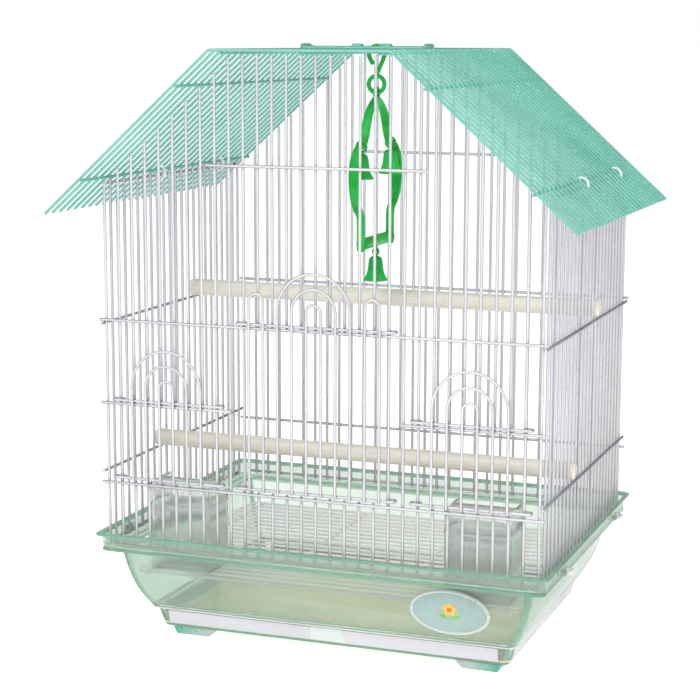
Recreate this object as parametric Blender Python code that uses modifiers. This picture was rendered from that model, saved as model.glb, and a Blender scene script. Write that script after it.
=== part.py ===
"""Table-top bird cage: welded wire walls and a gabled wire roof on a moulded base tray.

Units are metres, +Z is up and the front is at -Y. Every part is modelled in the cage's own
coordinates, whose zero is under the middle of the wire walls, and hangs from the empty
"cage_origin", which centres the whole outline. A moving part hangs from an empty on its joint.
"""

import math

import bmesh
import bpy
from mathutils import Matrix, Vector

# Driving dimensions
HALF_WIDTH = 0.150            # corner wire to the middle plane, along X
HALF_DEPTH = 0.115            # front or back wires to the middle plane, along Y
PITCH = 0.010                 # wire spacing everywhere
WIRE_R = 0.001                # wire radius
WELD = 0.0003                 # how far two crossing wires sink into each other
GAP = 0.0004                  # running clearance between separate pieces
LAP = 2 * WIRE_R - WELD       # centre distance of two welded, crossing wires
CLEAR = 2 * WIRE_R + GAP      # centre distance of two wires that slide past each other
OUTLINE_SHIFT = 0.010         # the roof reaches further to the front than to the back

# Heights of the horizontal wires
WALL_FOOT = 0.0688
SIDE_OUT = 0.0008             # side wires stand this far outside the corner wires
FOOT_RAIL_END = 0.146
GUIDE_RAIL_END = 0.076
BACK_RAIL_END = 0.056
SIDE_RING_OVER = 0.0035       # how far side rails reach past the corner and past the last wire
SIDE_RAIL_OVER = 0.003
FOOT_RAIL = 0.0702
FRONT_RING_LOW = 0.113
FRONT_RING_MID = 0.1676
RING_HIGH = 0.224
GUIDE_RAIL = 0.3288
SIDE_RING_LOW = 0.1204
SIDE_RING_HIGH = 0.2213
SIDE_RAIL = 0.3145
SIDE_TOP = 0.317
BACK_RAIL = 0.3255
RING_OVERRUN = 0.0045

# Roof
ROOF_TOP = 0.4023
ROOF_FLAT = 0.0599            # half width of the flat top
EAVE_X = 0.178
EAVE_Z = 0.296
ROOF_FRONT = -0.145
ROOF_BACK = 0.125
ROOF_ANGLE = math.atan2(ROOF_TOP - EAVE_Z, EAVE_X - ROOF_FLAT)
SLOPE_LENGTH = math.hypot(EAVE_X - ROOF_FLAT, ROOF_TOP - EAVE_Z)
SLOPE_RAILS = (0.20, 0.775)   # shares of the slope, from the bend

# Doors
DOOR_BAR_Y = -(HALF_DEPTH + CLEAR)
DOOR_WIRE_Y = DOOR_BAR_Y - LAP
DOOR_LOW = 0.117
MAIN_GUIDE = 0.050            # the guide wires' distance from the door's middle
MAIN_TOP = RING_HIGH + CLEAR + 0.0002
DOOR_HOOK_OUT = 0.0045        # a door's hooks reach past and back behind the guide wires
DOOR_HOOK_IN = 0.0020
DOOR_HOOK_BEND = 0.0016
FEEDER_X = 0.105
FEEDER_GUIDE = 0.035
FEEDER_TOP = FRONT_RING_MID + CLEAR + 0.0002
ARCH_RADII = (0.005, 0.015, 0.025)
ARCH_LEG = 0.010
HAIRPIN_LEG = 0.0155

# Base tray
TRAY_UNDER = 0.0066
RIM_UNDER = 0.0650
RIM_LEDGE = 0.0675
TRAY_CORNER = 0.005
BASE_SHELL = (                # outward offset from the wire walls, height: outside, rim, inside
    (-0.0280, TRAY_UNDER), (-0.0262, 0.0078), (-0.0226, 0.0205), (-0.0196, 0.0216),
    (-0.0134, 0.0324), (-0.0096, 0.0424), (-0.0066, 0.0534), (-0.0044, RIM_UNDER),
    (0.0054, RIM_UNDER), (0.0054, 0.0750), (0.0086, 0.0760), (0.0086, 0.0778), (0.0066, 0.0780),
    (0.0041, 0.0755), (0.0039, RIM_LEDGE), (-0.0066, RIM_LEDGE), (-0.0088, 0.0534),
    (-0.0118, 0.0424), (-0.0156, 0.0324), (-0.0216, 0.0235), (-0.0246, 0.0212),
    (-0.0282, 0.0096),
)
FOOT_TOP = (0.0870, 0.1172)   # inner and outer side, along X
FOOT_SOLE = (0.0915, 0.1160)
FOOT_Y = 0.074
FOOT_HALF_TOP = 0.0125        # along Y
FOOT_HALF_SOLE = 0.0100
ROOF_RAIL_OVER = 0.0018       # how far roof rails reach past the end wires
CLIP_PIN_X = 0.1580
CLIP_PIN_Y = 0.075
CLIP_PIN_Z = 0.0710
CLIP_PIN_R = 0.0009
CLIP_HALF = 0.0042            # half of a base clip's width
CLIP_REACH = 0.0050           # from a base clip's pin to its tip
CLIP_HALF_THICK = 0.0010
BARREL_R = 0.0021
LUG_END = 0.0019              # how far a lug reaches past the pin
LUG_HALF_HEIGHT = 0.0020
LUG_ROOT = 0.1548             # inside the rim's upright wall
GRILLE_Z = 0.0490             # where the tray's sloping walls are as wide as the grille
LUG = 0.0018                  # thickness of the lugs that hold a clip's pin
BADGE_MIDDLE = Vector((0.090, -HALF_DEPTH + 0.0088, 0.0455))
BADGE_HALF = (0.026, 0.0155)
BADGE_LEAN = math.atan2(0.0030, 0.0110)   # the tray's front leans like this behind the badge
BADGE_RIM_R = 0.0011

# Perches, cups, handle and toy
PERCH_R = 0.006
UPPER_PERCH_Y = 0.025
LOWER_PERCH_Y = -0.035
CUP_SIZE = Vector((0.046, 0.035, 0.0621))
CUP_FRONT = -0.1010
CUP_FOOT = 0.0504
CUP_WALL = 0.0016
CUP_HOOD = 0.015              # how far the hood reaches back
CUP_MOUTH = 0.046             # height of the mouth's sill above the cup's foot
TOP_RAIL_Z = ROOF_TOP - LAP
HANDLE_R = 0.0015
HANDLE_PIVOT = Vector((0, -PITCH, TOP_RAIL_Z + WIRE_R + GAP + HANDLE_R))
HANDLE_WIDTH = 0.088
HANDLE_REACH = 2 * PITCH      # its two bars lie between roof wires
HANDLE_RISE = 0.0017          # its sides pass over the roof wires
HANDLE_CLIP_X = 0.0103
HANDLE_CLIP_HALF = (0.0035, 0.0072)
LINK_R = 0.0015
HUMP_SWELL = 1.5              # the hook is thicker over the rail
TOY_RING_Z = 0.3789
TOY_RING_R = 0.0057
SHOULDER_R = 0.0024
SHOULDER_Y = 0.030
SHOULDER_Z = 0.3378
TOY_BAR_Z = 0.2715
TOY_BAR_R = 0.0042
TOY_STRAP = (                 # apex to rod's foot: distance along Y, height, half width, half depth
    (0.0070, 0.3668, 0.0020, 0.0019), (0.0130, 0.3620, 0.0028, 0.0015),
    (0.0190, 0.3540, 0.0032, 0.0014), (0.0226, 0.3450, 0.0029, 0.0014),
    (0.0245, 0.3392, 0.0019, 0.0018), (0.0275, SHOULDER_Z, 0.0018, 0.0018),
    (0.0330, SHOULDER_Z, 0.0018, 0.0018), (0.0372, 0.3362, 0.0026, 0.0017),
    (0.0412, 0.3300, 0.0038, 0.0014), (0.0432, 0.3215, 0.0042, 0.0014),
    (0.0430, 0.3110, 0.0041, 0.0014), (0.0408, 0.3020, 0.0036, 0.0016),
    (0.0370, 0.2960, 0.0029, 0.0020), (0.0325, 0.2925, 0.0027, 0.0024),
    (0.0300, 0.2880, 0.0028, 0.0024), (0.0300, 0.2665, 0.0028, 0.0024),
)
BELL_HEIGHT = 0.0170
BELL_R = 0.0083
BELL_WALL = 0.0011
BELL_NECK_R = 0.0012
STEM_R = 0.0006
CLAPPER_R = 0.0022
BELL_PROFILE = (              # share of the height down from the crown, share of the radius
    (0.02, 0.34), (0.12, 0.52), (0.35, 0.62), (0.65, 0.74), (0.88, 0.90), (1.0, 1.0),
)


# Scene and helpers

for old in list(bpy.data.objects):
    bpy.data.objects.remove(old, do_unlink=True)

PARTS = bpy.data.collections.new("bird_cage")
CUTTERS = bpy.data.collections.new("cutters")
bpy.context.scene.collection.children.link(PARTS)
bpy.context.scene.collection.children.link(CUTTERS)


def material(name, colour, roughness, metallic=0.0):
    made = bpy.data.materials.new(name)
    made.use_nodes = True
    shader = made.node_tree.nodes["Principled BSDF"]
    shader.inputs["Base Color"].default_value = (*colour, 1)
    shader.inputs["Roughness"].default_value = roughness
    shader.inputs["Metallic"].default_value = metallic
    return made


WHITE_WIRE = material("white_coated_wire", (0.86, 0.87, 0.88), 0.35)
TEAL_WIRE = material("teal_coated_wire", (0.25, 0.66, 0.53), 0.35)
TRAY_PLASTIC = material("pale_green_plastic", (0.55, 0.78, 0.62), 0.2)
CUP_PLASTIC = material("smoky_plastic", (0.45, 0.48, 0.47), 0.2)
TOY_PLASTIC = material("bright_green_plastic", (0.03, 0.50, 0.10), 0.3)
CLIP_PLASTIC = material("white_plastic", (0.88, 0.90, 0.88), 0.4)
WOOD = material("perch_wood", (0.85, 0.78, 0.62), 0.6)
BADGE_PLASTIC = material("badge_plastic", (0.60, 0.75, 0.72), 0.3)


def hang(thing, pivot):
    """Parent a thing that is modelled in cage coordinates to an empty, where it stands."""
    thing.parent = pivot
    thing.matrix_parent_inverse = Matrix.Translation(-Vector(pivot["stands_at"]))


def pivot_at(name, place, parent):
    """An empty on a joint's axis; place is in cage coordinates."""
    made = bpy.data.objects.new(name, None)
    PARTS.objects.link(made)
    hang(made, parent)
    made.location = place
    made["stands_at"] = place
    return made


CAGE = bpy.data.objects.new("cage_origin", None)
CAGE.location = (0, OUTLINE_SHIFT, 0)
CAGE["stands_at"] = (0, 0, 0)
PARTS.objects.link(CAGE)


def add_part(name, mesh, surface, pivot=CAGE, smooth=True, place=(0, 0, 0)):
    mesh.name = name
    made = bpy.data.objects.new(name, mesh)
    mesh.materials.clear()
    mesh.materials.append(surface)
    if smooth:
        mesh.shade_smooth()
        mesh.set_sharp_from_angle(angle=math.radians(40))
    PARTS.objects.link(made)
    hang(made, pivot)
    made.location = place
    return made


def mesh_from(bm, name="shape"):
    mesh = bpy.data.meshes.new(name)
    bm.to_mesh(mesh)
    bm.free()
    return mesh


def combine(target, mesh, operation, name):
    """A Boolean with a mesh in cage coordinates; the other shape stays in the cutters."""
    other = bpy.data.objects.new(name, mesh)
    CUTTERS.objects.link(other)
    hang(other, target.parent)
    other.hide_render = True
    other.display_type = "WIRE"
    step = target.modifiers.new(name, "BOOLEAN")
    step.operation = operation
    step.solver = "EXACT"
    step.object = other


def straight_wires(runs):
    """Separate straight wires, each a four-sided bar from one point to another."""
    bm = bmesh.new()
    for start, end in runs:
        start = Vector(start)
        line = Vector(end) - start
        place = Matrix.Translation(start + line / 2)
        turn = Vector((0, 0, 1)).rotation_difference(line).to_matrix().to_4x4()
        bmesh.ops.create_cone(
            bm, cap_ends=True, segments=4, radius1=WIRE_R, radius2=WIRE_R,
            depth=line.length, matrix=place @ turn)
    return mesh_from(bm)


def bent_wires(paths, radius=WIRE_R, resolution=0, cyclic=False, swell=None):
    """Bent wires as bevelled curves, turned into one mesh with welded caps.

    swell gives a share of the radius for each point of a path.
    """
    curve = bpy.data.curves.new("wire", "CURVE")
    curve.dimensions = "3D"
    curve.bevel_depth = radius
    curve.bevel_resolution = resolution
    curve.use_fill_caps = True
    for path in paths:
        spline = curve.splines.new("POLY")
        spline.points.add(len(path) - 1)
        for point, place, share in zip(spline.points, path, swell or [1] * len(path)):
            point.co = (*place, 1)
            point.radius = share
        spline.use_cyclic_u = cyclic
    wire = bpy.data.objects.new("wire", curve)
    PARTS.objects.link(wire)
    bpy.context.view_layer.update()
    depsgraph = bpy.context.evaluated_depsgraph_get()
    mesh = bpy.data.meshes.new_from_object(wire.evaluated_get(depsgraph))
    bpy.data.objects.remove(wire, do_unlink=True)
    bm = bmesh.new()
    bm.from_mesh(mesh)
    bmesh.ops.remove_doubles(bm, verts=bm.verts, dist=0.00001)
    bmesh.ops.recalc_face_normals(bm, faces=bm.faces)
    bm.to_mesh(mesh)
    bm.free()
    return mesh


def rounded(path, radius, steps=3, closed=False):
    """A polyline whose corners are replaced by arcs."""
    corners = [Vector(p) for p in path]
    count = len(corners)
    made = []
    for i, corner in enumerate(corners):
        if not closed and i in (0, count - 1):
            made.append(corner)
            continue
        back = (corners[i - 1] - corner).normalized()
        ahead = (corners[(i + 1) % count] - corner).normalized()
        half = back.angle(ahead) / 2
        reach = radius / math.tan(half)
        centre = corner + (back + ahead).normalized() * (radius / math.sin(half))
        first = corner + back * reach - centre
        last = corner + ahead * reach - centre
        for k in range(steps + 1):
            made.append(centre + first.normalized().slerp(last.normalized(), k / steps) * radius)
    return made


def cylinder(start, end, radius, sides=16):
    start = Vector(start)
    line = Vector(end) - start
    bm = bmesh.new()
    turn = Vector((0, 0, 1)).rotation_difference(line).to_matrix().to_4x4()
    bmesh.ops.create_cone(
        bm, cap_ends=True, segments=sides, radius1=radius, radius2=radius,
        depth=line.length, matrix=Matrix.Translation(start + line / 2) @ turn)
    return mesh_from(bm)


def block(low, high, bevel=0.0):
    """A box between two corners, with its edges bevelled."""
    low = Vector(low)
    size = Vector(high) - low
    bm = bmesh.new()
    bmesh.ops.create_cube(
        bm, size=1, matrix=Matrix.Translation(low + size / 2) @ Matrix.Diagonal((*size, 1)))
    if bevel:
        bmesh.ops.bevel(
            bm, geom=bm.edges[:], offset=bevel, segments=1, affect="EDGES", profile=0.5)
    return mesh_from(bm)


def steps_between(low, high, pitch=PITCH):
    """Evenly pitched positions from low to high, both included."""
    return [low + pitch * k for k in range(round((high - low) / pitch) + 1)]


# Wire walls

def roof_height(x):
    """Height of the roof wires' middle above a place along X."""
    return ROOF_TOP - max(0.0, abs(x) - ROOF_FLAT) * math.tan(ROOF_ANGLE)


def wall_top(x):
    """Height of an end of a wall wire: it stops short of the roof's wires and rails."""
    return roof_height(x) - (0.0031 if abs(x) < ROOF_FLAT else 0.0050)


def wall_spans(x):
    """The heights between which the front wall's wire at x runs: doorways break it."""
    top = wall_top(x)
    stub = WIRE_R * 1.6
    if abs(x) < MAIN_GUIDE - PITCH / 2:
        return [(WALL_FOOT, FRONT_RING_LOW + stub), (RING_HIGH - stub, top)]
    if abs(abs(x) - FEEDER_X) < FEEDER_GUIDE - PITCH / 2:
        return [(WALL_FOOT, FRONT_RING_LOW + stub), (FRONT_RING_MID - stub, top)]
    return [(WALL_FOOT, top)]


def front_panel():
    y = -HALF_DEPTH
    runs = []
    for x in steps_between(-HALF_WIDTH, HALF_WIDTH):
        runs += [((x, y, low), (x, y, high)) for low, high in wall_spans(x)]
    rail_y = y - LAP
    end = HALF_WIDTH + RING_OVERRUN
    ring_end = MAIN_GUIDE + PITCH - WIRE_R * 1.2
    rails = [((-end, rail_y, z), (end, rail_y, z)) for z in (FRONT_RING_LOW, RING_HIGH)]
    for side in (-1, 1):
        inner, outer = sorted((side * ring_end, side * end))
        rails.append(((inner, rail_y, FRONT_RING_MID), (outer, rail_y, FRONT_RING_MID)))
    for end, z in ((FOOT_RAIL_END, FOOT_RAIL), (GUIDE_RAIL_END, GUIDE_RAIL)):
        rails.append(((-end, rail_y, z), (end, rail_y, z)))
    panel = add_part("front_panel", straight_wires(runs), WHITE_WIRE, smooth=False)
    combine(panel, straight_wires(rails), "UNION", "front_panel_rails")


def back_panel():
    y = HALF_DEPTH
    runs = [((x, y, WALL_FOOT), (x, y, wall_top(x)))
            for x in steps_between(-HALF_WIDTH, HALF_WIDTH)]
    rail_y = y + LAP
    end = HALF_WIDTH + RING_OVERRUN
    heights = ((FOOT_RAIL_END, FOOT_RAIL), (end, FRONT_RING_LOW), (end, RING_HIGH),
               (BACK_RAIL_END, BACK_RAIL))
    rails = [((-reach, rail_y, z), (reach, rail_y, z)) for reach, z in heights]
    panel = add_part("back_panel", straight_wires(runs), WHITE_WIRE, smooth=False)
    combine(panel, straight_wires(rails), "UNION", "back_panel_rails")


def side_panel(name, side):
    x = side * (HALF_WIDTH + SIDE_OUT)
    reach = HALF_DEPTH - PITCH
    runs = [((x, y, WALL_FOOT), (x, y, SIDE_TOP)) for y in steps_between(-reach, reach)]
    rail_x = x + side * LAP
    end = HALF_DEPTH + SIDE_RING_OVER
    rails = [((rail_x, -end, z), (rail_x, end, z)) for z in (SIDE_RING_LOW, SIDE_RING_HIGH)]
    for z in (FOOT_RAIL, SIDE_RAIL):
        rails.append(((rail_x, -reach - SIDE_RAIL_OVER, z), (rail_x, reach + SIDE_RAIL_OVER, z)))
    panel = add_part(name, straight_wires(runs), WHITE_WIRE, smooth=False)
    combine(panel, straight_wires(rails), "UNION", name + "_rails")


# Roof

def on_slope(side, along, y, inward=0.0):
    """A point on a roof slope, measured from the bend, and moved into the cage."""
    x = ROOF_FLAT + along * math.cos(ROOF_ANGLE) - inward * math.sin(ROOF_ANGLE)
    z = ROOF_TOP - along * math.sin(ROOF_ANGLE) - inward * math.cos(ROOF_ANGLE)
    return (side * x, y, z)


def roof_slope(name, side):
    start = 0.0008
    wires = steps_between(ROOF_FRONT, ROOF_BACK)
    runs = [(on_slope(side, start, y), on_slope(side, SLOPE_LENGTH, y)) for y in wires]
    rails = []
    for share in SLOPE_RAILS:
        along = share * SLOPE_LENGTH
        rails.append((on_slope(side, along, ROOF_FRONT - ROOF_RAIL_OVER, LAP),
                      on_slope(side, along, ROOF_BACK + ROOF_RAIL_OVER, LAP)))
    slope = add_part(name, straight_wires(runs), TEAL_WIRE, smooth=False)
    combine(slope, straight_wires(rails), "UNION", name + "_rails")


def roof_top():
    half = ROOF_FLAT - 0.0006
    wires = steps_between(ROOF_FRONT, ROOF_BACK)
    runs = [((-half, y, ROOF_TOP), (half, y, ROOF_TOP)) for y in wires]
    edge = ROOF_FLAT - 0.008
    rails = [((x, ROOF_FRONT - ROOF_RAIL_OVER, TOP_RAIL_Z), (x, ROOF_BACK + ROOF_RAIL_OVER, TOP_RAIL_Z))
             for x in (-edge, 0, edge)]
    top = add_part("roof_top", straight_wires(runs), TEAL_WIRE, smooth=False)
    combine(top, straight_wires(rails), "UNION", "roof_top_rails")


def roof_clip(name, side, y):
    """A closed ring that ties the roof's lower rail to the side panel's top rail."""
    lower = Vector(on_slope(side, SLOPE_RAILS[1] * SLOPE_LENGTH, y, LAP))
    rail = Vector((side * (HALF_WIDTH + SIDE_OUT + LAP), y, SIDE_RAIL))
    centre = (lower + rail) / 2
    radius = (lower - rail).length / 2 + CLEAR
    bpy.ops.mesh.primitive_torus_add(
        major_segments=10, minor_segments=4, major_radius=radius, minor_radius=0.0010)
    ring = bpy.context.object
    mesh = ring.data
    mesh.transform(Matrix.Translation(centre) @ Matrix.Rotation(math.pi / 2, 4, "X"))
    bpy.data.objects.remove(ring, do_unlink=True)
    add_part(name, mesh, CLIP_PLASTIC)


# Doors

def arch(middle, radius, foot, spring, steps):
    """A hairpin: two upright legs joined by a half circle, in the doors' plane."""
    path = [(middle - radius, DOOR_WIRE_Y, foot)]
    for k in range(steps + 1):
        angle = math.pi * (1 - k / steps)
        path.append((middle + radius * math.cos(angle), DOOR_WIRE_Y,
                     spring + radius * math.sin(angle)))
    path.append((middle + radius, DOOR_WIRE_Y, foot))
    return path


def door_bar(middle, guide, z):
    """A cross bar whose ends hook round the guide wires."""
    outer = guide + DOOR_HOOK_OUT
    tip = guide - DOOR_HOOK_IN
    back = -(HALF_DEPTH - CLEAR)
    path = [(middle - tip, back, z), (middle - outer, back, z), (middle - outer, DOOR_BAR_Y, z),
            (middle + outer, DOOR_BAR_Y, z), (middle + outer, back, z),
            (middle + tip, back, z)]
    return rounded(path, DOOR_HOOK_BEND, 2)


def lift_door(name, middle, guide, top, hairpins):
    """A door of hairpin wires and two hooked bars, which slides up its guide wires."""
    foot = DOOR_LOW - WIRE_R * 1.5
    wires = []
    for offset, radius, leg, steps in hairpins:
        wires.append(arch(middle + offset, radius, foot, top + leg, steps))
    pivot = pivot_at(name + "_slide", (middle, DOOR_BAR_Y, DOOR_LOW), CAGE)
    door = add_part(name, bent_wires(wires), WHITE_WIRE, pivot, smooth=False)
    bars = [door_bar(middle, guide, z) for z in (DOOR_LOW, top)]
    combine(door, bent_wires(bars), "UNION", name + "_bars")


def doors():
    arches = [(0, radius, ARCH_LEG, 4 + 4 * k) for k, radius in enumerate(ARCH_RADII)]
    side_pins = [(side * 4 * PITCH, PITCH / 2, HAIRPIN_LEG, 4) for side in (-1, 1)]
    lift_door("main_door", 0, MAIN_GUIDE, MAIN_TOP, arches + side_pins)
    lift_door("left_feeder_door", -FEEDER_X, FEEDER_GUIDE, FEEDER_TOP, arches)
    lift_door("right_feeder_door", FEEDER_X, FEEDER_GUIDE, FEEDER_TOP, arches)


# Base

def outline(half_x, half_y, radius, z, steps=3):
    """A rounded rectangle, as points round its edge."""
    made = []
    for quarter, (sx, sy) in enumerate(((1, 1), (-1, 1), (-1, -1), (1, -1))):
        for k in range(steps + 1):
            angle = math.pi / 2 * (quarter + k / steps)
            made.append((sx * (half_x - radius) + radius * math.cos(angle),
                         sy * (half_y - radius) + radius * math.sin(angle), z))
    return made


def base_tray():
    """The tray's whole skin: a loft through rounded rectangles, closed below and inside."""
    bm = bmesh.new()
    loops = []
    for offset, z in BASE_SHELL:
        points = outline(HALF_WIDTH + offset, HALF_DEPTH + offset, TRAY_CORNER, z)
        loops.append([bm.verts.new(p) for p in points])
    count = len(loops[0])
    for lower, upper in zip(loops, loops[1:]):
        for i in range(count):
            j = (i + 1) % count
            bm.faces.new((lower[i], lower[j], upper[j], upper[i]))
    bm.faces.new(list(reversed(loops[0])))
    bm.faces.new(loops[-1])
    return add_part("base_tray", mesh_from(bm), TRAY_PLASTIC, smooth=False)


def foot(name, side_x, side_y):
    """A tapered foot under a corner of the tray."""
    bm = bmesh.new()
    ends = ((FOOT_SOLE, FOOT_HALF_SOLE, 0), (FOOT_TOP, FOOT_HALF_TOP, TRAY_UNDER - 0.0003))
    sole, top = ([bm.verts.new((side_x * x, side_y * FOOT_Y + y, z)) for x, y in (
        (inner, -half), (outer, -half), (outer, half), (inner, half))]
        for (inner, outer), half, z in ends)
    for i in range(4):
        j = (i + 1) % 4
        bm.faces.new((sole[i], sole[j], top[j], top[i]))
    bm.faces.new(sole)
    bm.faces.new(top)
    bmesh.ops.recalc_face_normals(bm, faces=bm.faces)
    add_part(name, mesh_from(bm), TRAY_PLASTIC, smooth=False)


def base_clip(name, side_x, side_y, tray):
    """A tab on a barrel, which turns on a pin between two lugs beside the tray's rim."""
    x = side_x * CLIP_PIN_X
    y = side_y * CLIP_PIN_Y
    pin = Vector((x, y, CLIP_PIN_Z))
    across = Vector((0, 1, 0))
    lug_in = CLIP_HALF + GAP
    lug_out = lug_in + LUG
    for hand in (-1, 1):
        near, far = sorted((y + hand * lug_in, y + hand * lug_out))
        root, end = sorted((side_x * LUG_ROOT, x + side_x * LUG_END))
        lug = block((root, near, CLIP_PIN_Z - LUG_HALF_HEIGHT),
                    (end, far, CLIP_PIN_Z + LUG_HALF_HEIGHT))
        combine(tray, lug, "UNION", f"{name}_lug_{hand}")
    reach = across * (lug_in + 0.0008)
    combine(tray, cylinder(pin - reach, pin + reach, CLIP_PIN_R, 12), "UNION", name + "_pin")
    pivot = pivot_at(name + "_hinge", pin, CAGE)
    root, tip = sorted((x, x + side_x * CLIP_REACH))
    tab = block((root, y - CLIP_HALF, CLIP_PIN_Z - CLIP_HALF_THICK),
                (tip, y + CLIP_HALF, CLIP_PIN_Z + CLIP_HALF_THICK), 0.0004)
    clip = add_part(name, tab, CLIP_PLASTIC, pivot, smooth=False)
    half = across * CLIP_HALF
    combine(clip, cylinder(pin - half, pin + half, BARREL_R, 12), "UNION", name + "_barrel")
    through = half * 1.5
    bore = cylinder(pin - through, pin + through, CLIP_PIN_R + GAP, 12)
    combine(clip, bore, "DIFFERENCE", name + "_bore")


def floor_grille():
    """Wires along the tray on four cross wires, whose ends rest on the sloping walls."""
    reach = 0.102
    cross_end = 0.1038
    cross_z = GRILLE_Z - LAP
    runs = []
    for y in steps_between(-reach, reach):
        end = 0.1385 if abs(y) < reach - WIRE_R else 0.1345
        runs.append(((-end, y, GRILLE_Z), (end, y, GRILLE_Z)))
    cross = [((x, -cross_end, cross_z), (x, cross_end, cross_z))
             for x in (-0.129, -0.043, 0.043, 0.129)]
    grille = add_part("floor_grille", straight_wires(runs), WHITE_WIRE, smooth=False)
    combine(grille, straight_wires(cross), "UNION", "floor_grille_cross_wires")


def badge():
    """An oval plate in a raised oval frame, on the tray's sloping front."""
    stand_off = BADGE_RIM_R + 0.0003
    out = Vector((0, -math.cos(BADGE_LEAN), -math.sin(BADGE_LEAN)))
    place = Matrix.Translation(BADGE_MIDDLE + out * stand_off) @ Matrix.Rotation(
        math.pi / 2 + BADGE_LEAN, 4, "X")
    half_w, half_h = BADGE_HALF
    rim = [place @ Vector((half_w * math.cos(a), half_h * math.sin(a), 0))
           for a in (2 * math.pi * k / 28 for k in range(28))]
    add_part("badge_frame", bent_wires([rim], BADGE_RIM_R, 1, cyclic=True), BADGE_PLASTIC)
    inset = BADGE_RIM_R + 0.0005
    bm = bmesh.new()
    bmesh.ops.create_cone(
        bm, cap_ends=True, segments=28, radius1=1, radius2=1, depth=0.0010,
        matrix=place @ Matrix.Diagonal((half_w - inset, half_h - inset, 1, 1)))
    add_part("badge_plate", mesh_from(bm), BADGE_PLASTIC)


# Furniture

def perch(name, y, ring):
    """A dowel whose slotted ends clasp one wire of each side panel."""
    z = ring + WIRE_R + GAP + PERCH_R
    end = HALF_WIDTH + 0.0034
    dowel = add_part(name, cylinder((-end, y, z), (end, y, z), PERCH_R), WOOD)
    slot_start = HALF_WIDTH - 0.0007
    half_slot = WIRE_R + 0.0003
    for side in (-1, 1):
        near, far = sorted((side * slot_start, side * (end + 0.005)))
        slot = block((near, y - half_slot, z - 0.01), (far, y + half_slot, z + 0.01))
        combine(dowel, slot, "DIFFERENCE", f"{name}_slot_{side}")


def feeder_cup(name, x):
    """A hooded cup: the front half is roofed, the back half is open to the bird."""
    low = Vector((x - CUP_SIZE.x / 2, CUP_FRONT, CUP_FOOT))
    high = low + CUP_SIZE
    inset = Vector((CUP_WALL, CUP_WALL, CUP_WALL))
    pivot = pivot_at(name + "_lift", (x, CUP_FRONT + CUP_SIZE.y / 2, low.z), CAGE)
    cup = add_part(name, block(low, high, 0.002), CUP_PLASTIC, pivot, smooth=False)
    hollow = block(low + inset, high - inset)
    combine(cup, hollow, "DIFFERENCE", name + "_hollow")
    mouth_low = Vector((low.x + CUP_WALL, CUP_FRONT + CUP_HOOD, low.z + CUP_MOUTH))
    mouth_high = Vector((high.x - CUP_WALL, high.y + 0.01, high.z + 0.01))
    combine(cup, block(mouth_low, mouth_high), "DIFFERENCE", name + "_mouth")


def handle_path():
    """Two bars between roof wires, joined by sides that arch over the wires."""
    half = HANDLE_WIDTH / 2
    near = HANDLE_PIVOT.y
    far = near - HANDLE_REACH
    middle = (near + far) / 2
    ramp = 0.0045
    bends = rounded([(-half, near, 0), (half, near, 0), (half, far, 0), (-half, far, 0)],
                    0.004, 4, closed=True)
    right = [Vector((half, middle + step * ramp, 0)) for step in (1, 0, -1)]
    left = [Vector((-half, middle + step * ramp, 0)) for step in (-1, 0, 1)]
    path = bends[:10] + right + bends[10:] + left
    for point in path:
        share = min(1.0, (HANDLE_REACH / 2 - abs(point.y - middle)) / ramp)
        point.z = HANDLE_PIVOT.z + HANDLE_RISE * share * share * (3 - 2 * share)
    return path


def carry_handle():
    """A wire bail that lies on the roof, and the two clips that hold its pivot bar."""
    pivot = pivot_at("carry_handle_hinge", HANDLE_PIVOT, CAGE)
    y, z = HANDLE_PIVOT.y, HANDLE_PIVOT.z
    bail = bent_wires([handle_path()], HANDLE_R, 2, cyclic=True)
    add_part("carry_handle", bail, TEAL_WIRE, pivot)
    wall = 0.0012
    half_slot = HANDLE_R + GAP
    half_x, half_y = HANDLE_CLIP_HALF
    channels = ((y, half_slot, z + half_slot),
                (y - PITCH / 2, WIRE_R + GAP, ROOF_TOP + WIRE_R + GAP),
                (y + PITCH / 2, WIRE_R + GAP, ROOF_TOP + WIRE_R + GAP))
    for name, x in (("left_handle_clip", -HANDLE_CLIP_X), ("right_handle_clip", HANDLE_CLIP_X)):
        low = (x - half_x, y - half_y, ROOF_TOP - 0.0018)
        high = (x + half_x, y + half_y, z + half_slot + wall)
        clip = add_part(name, block(low, high, 0.0006), TEAL_WIRE, smooth=False)
        for k, (middle, half, top) in enumerate(channels):
            channel = block((x - 2 * half_x, middle - half, ROOF_TOP - 0.01),
                            (x + 2 * half_x, middle + half, top))
            combine(clip, channel, "DIFFERENCE", f"{name}_channel_{k}")


# Toy

def torus_mesh(centre, normal, radius, tube, segments=12, sides=6):
    bpy.ops.mesh.primitive_torus_add(
        major_segments=segments, minor_segments=sides, major_radius=radius, minor_radius=tube)
    ring = bpy.context.object
    mesh = ring.data
    turn = Vector((0, 0, 1)).rotation_difference(Vector(normal)).to_matrix().to_4x4()
    mesh.transform(Matrix.Translation(centre) @ turn)
    bpy.data.objects.remove(ring, do_unlink=True)
    return mesh


def turned(name, profile, steps, surface, pivot, place):
    """A part spun round its own upright axis from a profile of (radius, height) points."""
    mesh = bpy.data.meshes.new(name)
    edges = [(k, k + 1) for k in range(len(profile) - 1)]
    mesh.from_pydata([(r, 0, z) for r, z in profile], edges, [])
    made = add_part(name, mesh, surface, pivot, smooth=False, place=place)
    screw = made.modifiers.new("turn", "SCREW")
    screw.steps = screw.render_steps = steps
    screw.use_merge_vertices = True
    screw.merge_threshold = 0.00001
    return made


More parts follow.
